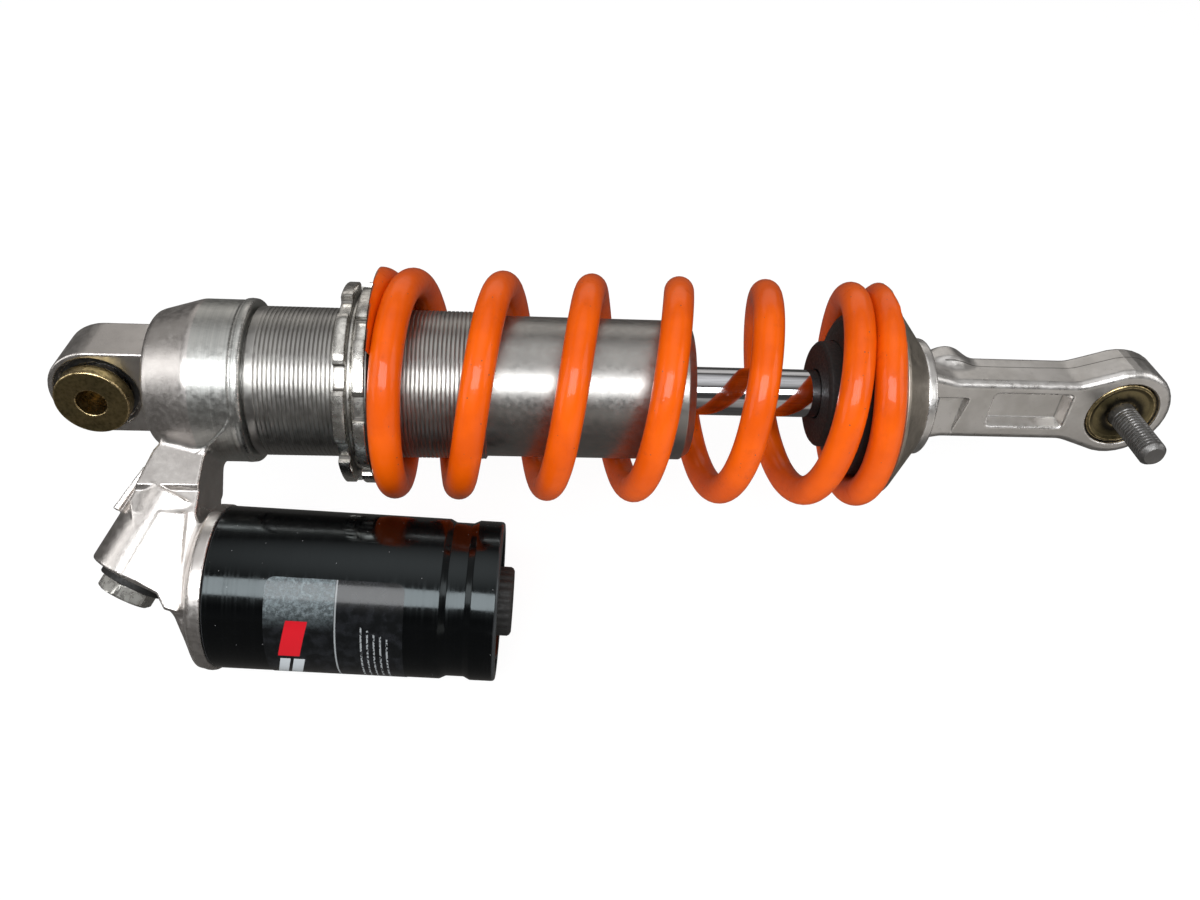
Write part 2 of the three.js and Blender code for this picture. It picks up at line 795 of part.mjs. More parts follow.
function reservoir() {
  const [g0, g1] = RES_GROOVE;
  const can = turned(
    [
      [0, RES_BORE_R],
      [0, RES_R - 0.3],
      [0.3, RES_R],
      [g0 - 0.8, RES_R],
      [g0 + 1, RES_R - 1],
      [g1 - 1, RES_R - 1],
      [g1 + 0.8, RES_R],
      [RES_LENGTH - 2.6, RES_R],
      [RES_LENGTH - 0.7, RES_R - 0.9],
      [RES_LENGTH, RES_R - 2.6],
      [RES_LENGTH, RES_BORE_R],
      [92.2, RES_BORE_R],
      [92.2, RES_BORE_R + 0.8],
      [90.8, RES_BORE_R + 0.8],
      [90.8, RES_BORE_R],
    ],
    FINE,
    RES,
  );
  add("reservoir_body", can, BLACK);

  const endCap = turned(
    [
      [80, 4.6],
      [80, RES_BORE_R - RUN],
      [90.6, RES_BORE_R - RUN],
      [90.6, 14],
      [92.6, 12.5],
      [92.6, 4.6],
    ],
    MEDIUM,
    RES,
  );
  add("reservoir_end_cap", endCap, BLACK);
  add("reservoir_circlip", tube(90.9, 92.1, 22.6, RES_BORE_R + 0.7, MEDIUM, RES), STEEL);
  add("gas_valve", disc([[77, 3.4], [80, 4.5], [95.4, 4.5], [96.4, 2.6]], MEDIUM, RES), BRONZE);

  // The cover is a cup over the valve, so its profile runs from the cup's floor to its outside.
  const cover = lathe(
    [
      [96.8, 0],
      [96.8, 5],
      [92.8, 5],
      [92.8, 12.2],
      [98.6, 12.2],
      [99.8, 11],
      [99.8, 0],
    ],
    MEDIUM,
    RES,
  );
  add("valve_cover", cover, RUBBER);

  const floating = turned(
    [
      [44, 6],
      [44, RES_BORE_R - 0.3],
      [50, RES_BORE_R - 0.3],
      [50, RES_BORE_R - 2.6],
      [53.4, RES_BORE_R - 2.6],
      [53.4, RES_BORE_R - 0.3],
      [58, RES_BORE_R - 0.3],
      [58, 21],
      [49, 19],
      [49, 6],
    ],
    MEDIUM,
    RES,
  );
  const bleed = disc([[44.5, 6.5], [48.5, 6.5]], MEDIUM, RES);
  add("floating_piston", join(floating, bleed), TURNED);
  add("floating_piston_ring", tube(50.2, 53.2, RES_BORE_R - 2.5, RES_BORE_R - RUN, MEDIUM, RES), RUBBER);
}

// A printed label: a thin skin that wraps round the can's near side.
function label() {
  const skin = tube(LABEL.from, LABEL.to, RES_R + 0.06, RES_R + 0.26, FINE, RES);
  const reach = 2 * RES_R;
  const outline = [[0, 0]];
  for (let i = 0; i <= 4; i++) {
    const a = deg(THREE.MathUtils.lerp(LABEL.startDeg, LABEL.endDeg, i / 4));
    outline.push([reach * Math.cos(a), reach * Math.sin(a)]);
  }
  const middle = (LABEL.from + LABEL.to) / 2;
  const centre = inSide(RES_START + middle, RES_OFFSET + middle * Math.sin(deg(RES_TILT_DEG)));
  const round = new THREE.Matrix4().makeBasis(across.clone().negate(), side, X);
  return skin.intersect(slab(outline, LABEL.to, 0, round.setPosition(centre)));
}

// ---------------------------------------------------------------- compression adjuster

function compressionAdjuster() {
  const face = 2.5;
  const stem = disc([[-11, 9], [face + 0.2, 9]], MEDIUM, ADJ);
  const hex = join(stem, hexBar(face, face + 5, HEX_AF, ADJ));
  const screwHole = disc([[-12, 3.4], [face + 6, 3.4]], MEDIUM, ADJ);
  add("high_speed_adjuster", cut(hex, screwHole), STEEL);
  add("adjuster_washer", tube(0.2, 2.3, 9.2, 11.2, MEDIUM, ADJ), RUBBER);

  const slot = box(8, 2, 1.2, 0, face + 4.4, 0).transform(ADJ.toArray());
  const screw = disc([[-14, 1.2], [-11.5, 3.2], [face + 4.4, 3.2]], MEDIUM, ADJ);
  add("low_speed_adjuster", cut(screw, slot), BRONZE);

  const valve = turned([[-21.4, 3.5], [-21.4, 9], [-14.5, 9], [-14.5, 3.5]], MEDIUM, ADJ);
  add("compression_valve", valve, STEEL);
}

// ---------------------------------------------------------------- assembly

add("shock_head", headCasting(), CAST);
bearing("upper", UPPER_BEARING);
add("damper_tube", damperTube(), TURNED);
seals();
add("lock_ring", preloadRing(LOCK_START, [0, 0.9], LOCK_NOTCH_AT), STEEL);
add("adjuster_ring", preloadRing(ADJUST_START, [-1, -0.2], ADJUST_NOTCH_AT), STEEL);
add("spring_seat", tube(96.9, SEAT_START - RUN, THREAD_R + 0.4, 36.8, FINE), STEEL);
add("spring", spring(), ORANGE);
rodAssembly();
bumpAndRetainer();
add("lower_arm", lowerArm(), CAST);
add("rebound_adjuster", reboundAdjuster(), BRONZE);
bearing("lower", LOWER_BEARING);
add("lower_bolt", lowerBolt(), STEEL);
reservoir();
add("reservoir_label", label(), PRINT);
compressionAdjuster();

shock.position.set(...ORIGIN).negate();

const part = new THREE.Group();
part.add(shock);

export default part;
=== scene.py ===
import json
import math

import bmesh
import bpy
import numpy as np
from mathutils import Matrix, Vector

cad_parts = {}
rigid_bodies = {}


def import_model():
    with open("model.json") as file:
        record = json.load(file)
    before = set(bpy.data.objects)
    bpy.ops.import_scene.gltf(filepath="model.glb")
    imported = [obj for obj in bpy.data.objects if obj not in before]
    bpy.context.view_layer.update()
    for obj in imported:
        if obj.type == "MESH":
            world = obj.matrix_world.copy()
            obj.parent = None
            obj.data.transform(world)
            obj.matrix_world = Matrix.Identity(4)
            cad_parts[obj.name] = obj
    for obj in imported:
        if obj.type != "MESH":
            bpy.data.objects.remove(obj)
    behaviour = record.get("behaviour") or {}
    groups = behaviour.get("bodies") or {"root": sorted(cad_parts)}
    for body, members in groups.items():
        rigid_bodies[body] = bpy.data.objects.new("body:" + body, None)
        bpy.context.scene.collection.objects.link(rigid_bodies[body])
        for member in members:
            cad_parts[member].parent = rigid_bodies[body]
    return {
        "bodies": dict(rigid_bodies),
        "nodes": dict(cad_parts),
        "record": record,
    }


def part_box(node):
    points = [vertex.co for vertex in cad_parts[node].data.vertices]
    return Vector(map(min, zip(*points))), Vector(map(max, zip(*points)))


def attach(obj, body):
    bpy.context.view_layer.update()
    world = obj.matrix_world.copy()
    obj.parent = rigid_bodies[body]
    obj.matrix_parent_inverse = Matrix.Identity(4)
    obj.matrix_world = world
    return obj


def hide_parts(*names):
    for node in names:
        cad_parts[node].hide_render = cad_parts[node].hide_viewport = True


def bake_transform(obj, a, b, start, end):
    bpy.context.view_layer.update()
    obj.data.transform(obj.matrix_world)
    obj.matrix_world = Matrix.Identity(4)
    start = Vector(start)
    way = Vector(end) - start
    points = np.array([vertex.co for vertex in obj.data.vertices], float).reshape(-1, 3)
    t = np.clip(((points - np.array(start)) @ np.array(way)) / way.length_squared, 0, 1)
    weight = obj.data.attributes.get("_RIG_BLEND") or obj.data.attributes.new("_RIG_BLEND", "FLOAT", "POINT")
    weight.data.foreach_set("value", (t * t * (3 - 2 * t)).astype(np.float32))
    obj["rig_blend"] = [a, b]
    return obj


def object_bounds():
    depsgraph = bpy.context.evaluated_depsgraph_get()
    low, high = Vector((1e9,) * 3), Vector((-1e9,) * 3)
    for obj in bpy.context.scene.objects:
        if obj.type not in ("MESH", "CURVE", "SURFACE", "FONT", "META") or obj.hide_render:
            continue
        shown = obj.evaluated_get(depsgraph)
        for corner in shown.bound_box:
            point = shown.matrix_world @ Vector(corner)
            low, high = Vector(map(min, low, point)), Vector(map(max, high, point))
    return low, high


# A motorcycle rear shock absorber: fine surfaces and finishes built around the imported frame.
# Shapes are drawn in millimetres from the centre of the upper eye, +X along the shock and +Z up.
# The eye's place, and the ends of the turned pieces, are read from the frame.

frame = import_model()
cad_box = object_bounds()

MM = 0.001
SLOT_OF = {part["node"]: part["material_slot"] for part in frame["record"]["subparts"]}
BODY_OF = {
    node: body
    for body, nodes in frame["record"]["behaviour"]["bodies"].items()
    for node in nodes
}


def centre(node):
    low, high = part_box(node)
    return (low + high) / 2


EYE = centre("upper_ball")
EYE_PLACE = np.array(EYE)
LOWER_X = (centre("lower_ball") - EYE).x / MM


def span(node):
    """Where a node starts and ends along the shock, in millimetres from the upper eye."""
    low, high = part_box(node)
    return (low.x - EYE.x) / MM, (high.x - EYE.x) / MM


# ---- driving dimensions

SIDE_ANGLE = math.radians(48)  # the reservoir's side of the shock, from -Z towards -Y
RES_PLACE = (47.4, 74)  # the reservoir's mouth: along the shock, and out from its axis
RES_TILT = math.radians(2.7)
ADJUSTER_PLACE = (15.8, 71.6)
ADJUSTER_TILT = math.radians(27.4)
HEAD_START, HEAD_END = 19.7, 54.1
BARREL_R = 29
RING_R = 29.6  # the raised ring at the head's mouth
MACHINED_FROM = 37  # where the head's turned mouth begins
LUG_R, LUG_HALF = 16.6, 10.5
PIN_HOLE_R = 5.15
THREAD_R, THREAD_PITCH = 27, 1.5
BOLT_R, BOLT_PITCH = 4.95, 1.5
ROD_R = 9
CAN_R = 28
FLANGE = (294.5, 298.3)  # the lower arm's flange, under the spring retainer
ARM_TOP, ARM_HALF = 13, 9.5
EYE_R = 19
BOSS = (309, 9)  # the arm's small boss, along the shock and up
BOSS_R = 7.6


# ---- axes

def unit(vector):
    v = np.array(vector, float)
    return v / np.linalg.norm(v)


class Axis:
    """A turning axis. s runs along it and angles run from `first` towards `second`."""

    def __init__(self, origin, along, first):
        self.origin = np.array(origin, float)
        self.along = unit(along)
        self.first = unit(np.array(first) - self.along * np.dot(first, self.along))
        self.second = np.cross(self.along, self.first)

    def place(self, s, r, angle):
        s, r, angle = np.broadcast_arrays(s, r, angle)
        return (
            self.origin
            + s[..., None] * self.along
            + (r * np.cos(angle))[..., None] * self.first
            + (r * np.sin(angle))[..., None] * self.second
        )

    def measure(self, p):
        """(distance along, radius) of points p."""
        d = [p[i] - self.origin[i] for i in range(3)]
        s = sum(d[i] * self.along[i] for i in range(3))
        square = sum(c * c for c in d) - s * s
        return s, np.sqrt(np.maximum(square, 0))


SIDE = np.array([0, -math.sin(SIDE_ANGLE), -math.cos(SIDE_ANGLE)])
ACROSS = np.cross([1, 0, 0], SIDE)


def in_side(x, out):
    return np.array([x, 0, 0]) + out * SIDE


SHOCK = Axis((0, 0, 0), (1, 0, 0), (0, -1, 0))
UPPER = Axis((0, 0, 0), (0, 1, 0), (1, 0, 0))
LOWER = Axis((LOWER_X, 0, 0), (0, 1, 0), (1, 0, 0))
RES = Axis(
    in_side(*RES_PLACE),
    math.cos(RES_TILT) * np.array([1, 0, 0]) + math.sin(RES_TILT) * SIDE,
    -ACROSS,
)
ADJ = Axis(
    in_side(*ADJUSTER_PLACE),
    -math.sin(ADJUSTER_TILT) * np.array([1, 0, 0]) + math.cos(ADJUSTER_TILT) * SIDE,
    -ACROSS,
)


# ---- meshes

def build(name, points, faces, sharp=32):
    """A mesh from points in millimetres, faces out, smooth except at edges over `sharp` degrees."""
    shell = bmesh.new()
    placed = np.asarray(points, float) * MM + EYE_PLACE
    corners = [shell.verts.new(p) for p in placed.tolist()]
    for face in faces:
        shell.faces.new([corners[i] for i in face])
    bmesh.ops.remove_doubles(shell, verts=shell.verts, dist=1e-7)
    bmesh.ops.recalc_face_normals(shell, faces=shell.faces)
    mesh = bpy.data.meshes.new(name)
    shell.verts.index_update()
    bends = np.zeros(len(shell.verts), np.float32)
    for vert in shell.verts:
        strongest = max((e.calc_face_angle_signed(0) for e in vert.link_edges), key=abs)
        bends[vert.index] = strongest
    shell.to_mesh(mesh)
    shell.free()
    mesh.polygons.foreach_set("use_smooth", [True] * len(mesh.polygons))
    mesh.set_sharp_from_angle(angle=math.radians(sharp))
    set_edge(mesh, bends / math.radians(25))
    return mesh


def set_edge(mesh, values):
    """How sharply the surface turns at each point: 1 on an outer edge, -1 in a corner."""
    layer = mesh.attributes.new("edge", "FLOAT", "POINT")
    layer.data.foreach_set("value", np.clip(values, -1, 1).astype(np.float32))


def add_object(name, data):
    made = bpy.data.objects.new(name, data)
    bpy.context.scene.collection.objects.link(made)
    return made


def show(mesh, node, material):
    """The mesh as a piece that rides with a CAD node's body and stands for it."""
    piece = add_object(node + "_fine", mesh)
    mesh.materials.append(material)
    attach(piece, BODY_OF[node])
    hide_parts(node)


def circle(count):
    """Evenly spaced angles round a whole turn."""
    return np.arange(count) * 2 * math.pi / count


def hexagon(angles, across_flats, places):
    """Rows of a hexagon. A place is (s, how much the corners are cut down there)."""
    flats = across_flats / 2 / np.cos((angles % (math.pi / 3)) - math.pi / 6)
    corner = across_flats / math.sqrt(3)
    return [(s, np.minimum(flats, corner - cut)) for s, cut in places]


def rounded(outline, closed=True, steps=4):
    """An outline of (a, b, radius) points with each corner turned into an arc-like curve."""
    points = [np.array(p[:2], float) for p in outline]
    radii = [p[2] if len(p) > 2 else 0 for p in outline]
    result = []
    count = len(points)
    for i, (here, radius) in enumerate(zip(points, radii)):
        if not radius or (not closed and i in (0, count - 1)):
            result.append(tuple(here))
            continue
        back = points[i - 1] - here
        ahead = points[(i + 1) % count] - here
        room = min(np.linalg.norm(back), np.linalg.norm(ahead)) * 0.49
        back, ahead = unit(back), unit(ahead)
        corner = math.acos(np.clip(np.dot(back, ahead), -1, 1))
        reach = min(radius / math.tan(corner / 2), room)
        for k in range(steps + 1):
            t = k / steps
            point = here + back * reach * (1 - t) ** 2 + ahead * reach * t**2
            result.append(tuple(point))
    return result


def polar(node, axis, rows, material, angles=96, closed=True, sharp=32):
    """A turned piece. A row is (s, r), where r is a number or one radius for each angle.
    A closed piece's last row joins its first, and an open one is capped on the axis."""
    if isinstance(angles, int):
        angles = circle(angles)
    count = len(angles)
    points = [axis.place(np.full(count, s), r, angles) for s, r in rows]
    faces = []
    for k in range(len(rows) if closed else len(rows) - 1):
        a, b = k * count, (k + 1) % len(rows) * count
        for i in range(count):
            j = (i + 1) % count
            faces.append((a + i, a + j, b + j, b + i))
    if not closed:
        points += [[axis.place(rows[0][0], 0, 0)], [axis.place(rows[-1][0], 0, 0)]]
        total = len(rows) * count
        last = total - count
        for i in range(count):
            j = (i + 1) % count
            faces.append((total, j, i))
            faces.append((total + 1, last + i, last + j))
    show(build(node, np.concatenate(points), faces, sharp), node, material)


def turned(node, axis, outline, material, angles=96):
    """A plain turned piece from an outline of (s, r, corner radius) points."""
    polar(node, axis, rounded(outline), material, angles)


def ring_outline(start, end, inner, outer, edge, inner_edge=None):
    inner_edge = edge if inner_edge is None else inner_edge
    return [
        (start, inner, inner_edge),
        (start, outer, edge),
        (end, outer, edge),
        (end, inner, inner_edge),
    ]


# ---- cast shapes

def outline_distance(outline, u, v):
    """Signed distance from (u, v) to a closed outline, negative inside."""
    nearest = np.full(u.shape, 1e9, np.float32)
    inside = np.zeros(u.shape, bool)
    for (au, av), (bu, bv) in zip(outline, outline[1:] + outline[:1]):
        eu, ev = bu - au, bv - av
        wu, wv = u - au, v - av
        t = np.clip((wu * eu + wv * ev) / (eu * eu + ev * ev + 1e-12), 0, 1)
        nearest = np.minimum(nearest, (wu - eu * t) ** 2 + (wv - ev * t) ** 2)
        if ev:
            inside ^= ((av <= v) != (bv <= v)) & (wu < wv * (eu / ev))
    return np.where(inside, -1, 1) * np.sqrt(nearest)


def extruded(flat, across, half, edge):
    """An outline's distance `flat` made +-half thick, with its rims rounded."""
    a = flat + edge
    b = np.abs(across) - (half - edge)
    outside = np.hypot(np.maximum(a, 0), np.maximum(b, 0))
    return np.minimum(np.maximum(a, b), 0) + outside - edge


def merge(a, b, fillet):
    """The union of two fields with a fillet between them."""
    h = np.maximum(fillet - np.abs(a - b), 0) / fillet
    return np.minimum(a, b) - h * h * fillet / 4


def carve(a, b, edge):
    """Field a with field b cut away, the new rim softened."""
    return -merge(-a, b, edge)


def net(field, low, high, step):
    """A quad mesh of the surface where field is zero, drawn on it exactly, with its bends."""
    counts = [int(math.ceil((b - a) / step)) + 1 for a, b in zip(low, high)]
    ticks = [np.float32(a) + np.arange(n, dtype=np.float32) * np.float32(step)
             for a, n in zip(low, counts)]
    grid = np.meshgrid(*ticks, indexing="ij")
    values = field(grid)
    inside = values < 0
    corners = [(i, j, k) for i in (0, 1) for j in (0, 1) for k in (0, 1)]

    def corner(array, offset):
        return array[tuple(slice(o, n - 1 + o) for o, n in zip(offset, counts))]

    some = np.zeros([n - 1 for n in counts], bool)
    every = np.ones_like(some)
    for offset in corners:
        some |= corner(inside, offset)
        every &= corner(inside, offset)
    crossed = some & ~every
    cells = np.argwhere(crossed)
    number = np.full(crossed.shape, -1, np.int64)
    number[crossed] = np.arange(len(cells))

    total = np.zeros((len(cells), 3))
    hits = np.zeros(len(cells))
    for a in corners:
        for direction in range(3):
            if a[direction]:
                continue
            b = tuple(1 if d == direction else a[d] for d in range(3))
            va = corner(values, a)[crossed]
            vb = corner(values, b)[crossed]
            crosses = (va < 0) != (vb < 0)
            share = np.where(crosses, va / np.where(crosses, va - vb, 1), 0)
            point = np.array(a, float) + share[:, None] * (np.array(b) - np.array(a))
            total[crosses] += point[crosses]
            hits[crosses] += 1
    points = np.array(low) + (cells + total / hits[:, None]) * step

    faces = []
    for direction in range(3):
        u, v = (direction + 1) % 3, (direction + 2) % 3
        first = [slice(1, n - 1) for n in counts]
        first[direction] = slice(0, counts[direction] - 1)
        second = list(first)
        second[direction] = slice(1, counts[direction])
        near, far = inside[tuple(first)], inside[tuple(second)]
        where = np.argwhere(near != far)
        start = np.array([s.start for s in first])
        index = where + start
        ring = []
        for du, dv in ((-1, -1), (0, -1), (0, 0), (-1, 0)):
            shift = index.copy()
            shift[:, u] += du
            shift[:, v] += dv
            ring.append(number[shift[:, 0], shift[:, 1], shift[:, 2]])
        quad = np.stack(ring, 1)
        flip = ~near[tuple(where.T)]
        quad[flip] = quad[flip][:, ::-1]
        faces.append(quad)
    faces = np.concatenate(faces)

    def sample(p):
        return field([p[:, 0], p[:, 1], p[:, 2]])

    def slope(p, reach):
        ahead = [sample(p + reach * np.eye(3)[i]) for i in range(3)]
        behind = [sample(p - reach * np.eye(3)[i]) for i in range(3)]
        gradient = np.stack([(a - b) / (2 * reach) for a, b in zip(ahead, behind)], 1)
        return gradient, sum(ahead) + sum(behind)

    for _ in range(3):
        gradient, _around = slope(points, step * 0.15)
        size = np.maximum((gradient**2).sum(1), 0.2)
        move = (sample(points) / size)[:, None] * gradient
        points = points - np.clip(move, -step / 3, step / 3)
    normals, around = slope(points, step * 0.5)
    normals /= np.maximum(np.linalg.norm(normals, axis=1), 1e-6)[:, None]
    bend = (around - 6 * sample(points)) / (step * 0.5) ** 2
    return points, faces, normals, bend


def casting(node, field, step, bend_at, material):
    """A cast piece with its exact normals. bend_at is the bend that counts as an edge."""
    margin = 1.5
    low, high = ((np.array(corner) - EYE_PLACE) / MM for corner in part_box(node))
    points, faces, normals, bend = net(field, low - margin, high + margin, step)
    mesh = bpy.data.meshes.new(node)
    mesh.from_pydata((points * MM + EYE_PLACE).tolist(), [], faces.tolist())
    mesh.polygons.foreach_set("use_smooth", [True] * len(mesh.polygons))
    mesh.normals_split_custom_set_from_vertices(normals.tolist())
    set_edge(mesh, bend / bend_at)
    mesh.update()
    show(mesh, node, material)


# ---- finishes

FINISHES = {}


class Nodes:
    """The nodes of a material or a world."""

    def __init__(self, owner, output):
        owner.use_nodes = True
        self.tree = owner.node_tree
        self.tree.nodes.clear()
        self.output = self.node(output)

    def put(self, socket, value):
        if isinstance(value, bpy.types.NodeSocket):
            self.tree.links.new(value, socket)
        elif value is not None:
            socket.default_value = value

    def node(self, kind, *values, **settings):
        made = self.tree.nodes.new("ShaderNode" + kind)
        for key, value in settings.items():
            setattr(made, key, value)
        for socket, value in zip(made.inputs, values):
            self.put(socket, value)
        return made

    def surface(self, node):
        self.put(self.output.inputs["Surface"], node.outputs[0])


class Shader(Nodes):
    """A node material. mm is the place in millimetres from the upper eye."""

    def __init__(self, name):
        self.material = bpy.data.materials.new(name)
        FINISHES[name] = self.material
        super().__init__(self.material, "OutputMaterial")
        place = self.node("TexCoord").outputs["Object"]
        shifted = self.vector("SUBTRACT", place, tuple(EYE))[0]
        scaled = self.node("VectorMath", shifted, operation="SCALE")
        scaled.inputs["Scale"].default_value = 1 / MM
        self.mm = scaled.outputs[0]
        self.edge = self.node("Attribute", attribute_name="edge").outputs["Fac"]

    def named(self, kind, values):
        made = self.node(kind)
        for key, value in values.items():
            self.put(made.inputs[key], value)
        return made

    def math(self, operation, a, b=None, c=None):
        return self.node("Math", a, b, c, operation=operation).outputs[0]

    def spread(self, value, low, high, a=0.0, b=1.0):
        """value taken from low..high to a..b, smoothly."""
        made = self.node("MapRange", value, low, high, a, b, interpolation_type="SMOOTHSTEP")
        return made.outputs[0]

    def noise(self, scale, detail=3.0, vector=None, rough=0.5):
        values = {"Vector": vector or self.mm, "Scale": scale, "Detail": detail, "Roughness": rough}
        return self.named("TexNoise", values).outputs[0]

    def specks(self, scale, size, amount):
        """Small round marks: 1 inside a mark, 0 elsewhere."""
        cells = self.named("TexVoronoi", {"Vector": self.mm, "Scale": scale})
        dot = self.spread(cells.outputs["Distance"], size * 0.6, size, 1.0, 0.0)
        keep = self.node("SeparateColor", cells.outputs["Color"]).outputs[0]
        return self.math("MULTIPLY", dot, self.math("LESS_THAN", keep, amount))

    def mix(self, factor, a, b):
        made = self.node("Mix", data_type="RGBA")
        self.put(made.inputs[0], factor)
        for socket, value in ((made.inputs[6], a), (made.inputs[7], b)):
            self.put(socket, (*value, 1) if isinstance(value, tuple) else value)
        return made.outputs[2]

    def vector(self, operation, a, b=None):
        return self.node("VectorMath", a, b, operation=operation).outputs

    def from_origin(self, axis):
        return self.vector("SUBTRACT", self.mm, tuple(axis.origin))[0]

    def along(self, axis):
        """Distance along an axis, in millimetres."""
        return self.vector("DOT_PRODUCT", self.from_origin(axis), tuple(axis.along))["Value"]

    def radius(self, axis):
        """Distance from an axis, in millimetres."""
        cross = self.vector("CROSS_PRODUCT", self.from_origin(axis), tuple(axis.along))[0]
        return self.vector("LENGTH", cross)["Value"]

    def angle(self, axis):
        """Angle round an axis, in radians."""
        place = self.from_origin(axis)
        across = [self.vector("DOT_PRODUCT", place, tuple(v)) for v in (axis.second, axis.first)]
        return self.math("ARCTAN2", *(found["Value"] for found in across))

    def tool_lines(self, axis, scale):
        """Fine lines left by turning: they change along and out from the axis, hardly round it."""
        turn = self.math("MULTIPLY", self.angle(axis), 0.15)
        vector = self.node("CombineXYZ", self.along(axis), self.radius(axis), turn).outputs[0]
        return self.noise(scale, 2.0, vector)

    def bump(self, height, distance, below=None, strength=1.0):
        """A bump `distance` millimetres high."""
        values = {"Height": height, "Distance": distance * MM, "Strength": strength}
        if below is not None:
            values["Normal"] = below
        return self.named("Bump", values).outputs[0]

    def finish(self, **values):
        names = {key.replace("_", " ").title().replace("Ior", "IOR"): v for key, v in values.items()}
        for key, value in names.items():
            if isinstance(value, tuple) and len(value) == 3:
                names[key] = (*value, 1)
        self.surface(self.named("BsdfPrincipled", names))
        return self.material


def metal(name, light, dark, rough, axis=None, lines=0.0, line_scale=2.5, grain=0.0,
          grain_scale=1.2, corner_shade_and_grime=0.3, wear=0.5, stains=0.35, edge_wear_and_highlight_colour=None, marks=None):
    """Bare metal: two tones, stains, painted shade and grime in corners, edges lighter with wear and a
    painted highlight, grain and tool lines.
    marks(s, colour) may paint the colour further."""
    s = Shader(name)
    tone = s.spread(s.noise(0.09, 4.0), 0.35, 0.65)
    colour = s.mix(tone, light, dark)
    if marks:
        colour = marks(s, colour)
    blotch = s.math("MULTIPLY", s.spread(s.noise(0.35, 5.0, rough=0.65), 0.58, 0.78), stains)
    colour = s.mix(blotch, colour, tuple(c * 0.45 for c in dark))
    pits = s.math("MULTIPLY", s.specks(0.55, 0.13, 0.35), stains)
    colour = s.mix(pits, colour, (0.03, 0.027, 0.025))
    # Painted shade and grime: concave corners and grooves darken towards near-black.
    corner = s.math("MULTIPLY", s.spread(s.edge, -0.9, -0.1, 1.0, 0.0), corner_shade_and_grime)
    colour = s.mix(corner, colour, (0.035, 0.03, 0.027))
    # Convex edges lighter: partly wear, partly a painted highlight.
    uneven = s.spread(s.noise(0.8, 3.0), 0.3, 0.6)
    edge_wear_and_highlight = s.math("MULTIPLY", s.math("MULTIPLY", s.spread(s.edge, 0.15, 0.8), uneven), wear)
    colour = s.mix(edge_wear_and_highlight, colour, edge_wear_and_highlight_colour or tuple(min(1, c * 1.35) for c in light))
    roughness = s.spread(s.noise(0.5, 4.0), 0.3, 0.7, rough * 0.85, rough * 1.2)
    roughness = s.math("SUBTRACT", roughness, s.math("MULTIPLY", edge_wear_and_highlight, rough * 0.35))
    roughness = s.math("ADD", roughness, s.math("MULTIPLY", s.math("ADD", corner, blotch), 0.3))
    normal = None
    if grain:
        normal = s.bump(s.noise(grain_scale, 4.0, rough=0.6), grain)
    if axis is not None and lines:
        normal = s.bump(s.tool_lines(axis, line_scale), lines, normal)
    values = {"base_color": colour, "metallic": 1.0, "roughness": roughness}
    if normal is not None:
        values["normal"] = normal
    return s.finish(**values)


def rubber(name, colour, rough=0.62):
    """Matt black rubber or moulded plastic, with dust on it and a painted highlight on its outer edges."""
    s = Shader(name)
    dust = s.math("MULTIPLY", s.spread(s.noise(0.3, 6.0, rough=0.7), 0.45, 0.75), 0.07)
    tone = s.mix(dust, colour, (0.10, 0.09, 0.08))
    # Painted highlight: outer edges lighter grey.
    tone = s.mix(s.spread(s.edge, 0.3, 1.0, 0.0, 0.2), tone, (0.05, 0.047, 0.044))
    roughness = s.spread(s.noise(0.9), 0.3, 0.7, rough * 0.85, min(1, rough * 1.2))
    fine = s.bump(s.noise(3.0, 4.0), 0.05)
    return s.finish(
        base_color=tone, roughness=roughness, normal=s.bump(s.noise(0.6, 2.0), 0.06, fine)
    )


def spring_paint():
    """Orange powder coat with a gloss, slight orange peel, grime and a few chips down to grey."""
    s = Shader("spring_orange")
    tone = s.spread(s.noise(0.06, 3.0), 0.35, 0.65)
    colour = s.mix(tone, (0.80, 0.108, 0.001), (0.70, 0.088, 0.001))
    grime = s.math("MULTIPLY", s.spread(s.noise(0.16, 6.0, rough=0.7), 0.56, 0.8), 0.4)
    colour = s.mix(grime, colour, (0.45, 0.055, 0.006))
    dot = s.math("MAXIMUM", s.specks(0.42, 0.12, 0.16), s.specks(0.9, 0.16, 0.05))
    colour = s.mix(dot, colour, (0.12, 0.07, 0.05))
    ground = s.spread(s.edge, 0.35, 0.8)
    colour = s.mix(ground, colour, (0.25, 0.12, 0.07))
    peel = s.bump(s.noise(0.7, 2.0), 0.05)
    chips = s.bump(s.math("SUBTRACT", 1.0, dot), 0.08, peel)
    roughness = s.math("ADD", s.spread(s.noise(0.4, 4.0), 0.3, 0.7, 0.30, 0.40), grime)
    return s.finish(
        base_color=colour,
        roughness=roughness,
        specular_ior_level=0.15,
        coat_weight=0.3,
        coat_roughness=0.03,
        normal=chips,
        coat_normal=peel,
    )


def chrome():
    """Hard chrome: nearly a mirror, with faint lengthwise wear and an oily haze."""
    s = Shader("rod_chrome")
    turn = s.math("MULTIPLY", s.angle(SHOCK), 9.0)
    vector = s.node("CombineXYZ", s.math("MULTIPLY", s.along(SHOCK), 0.04), turn, 0.0).outputs[0]
    wear = s.spread(s.noise(1.6, 3.0, vector), 0.45, 0.75)
    haze = s.spread(s.noise(0.12, 4.0), 0.4, 0.7, 0.0, 0.06)
    colour = s.mix(wear, (0.58, 0.58, 0.60), (0.44, 0.44, 0.46))
    roughness = s.math("ADD", s.math("MULTIPLY_ADD", wear, 0.05, 0.04), haze)
    return s.finish(base_color=colour, metallic=1.0, roughness=roughness)


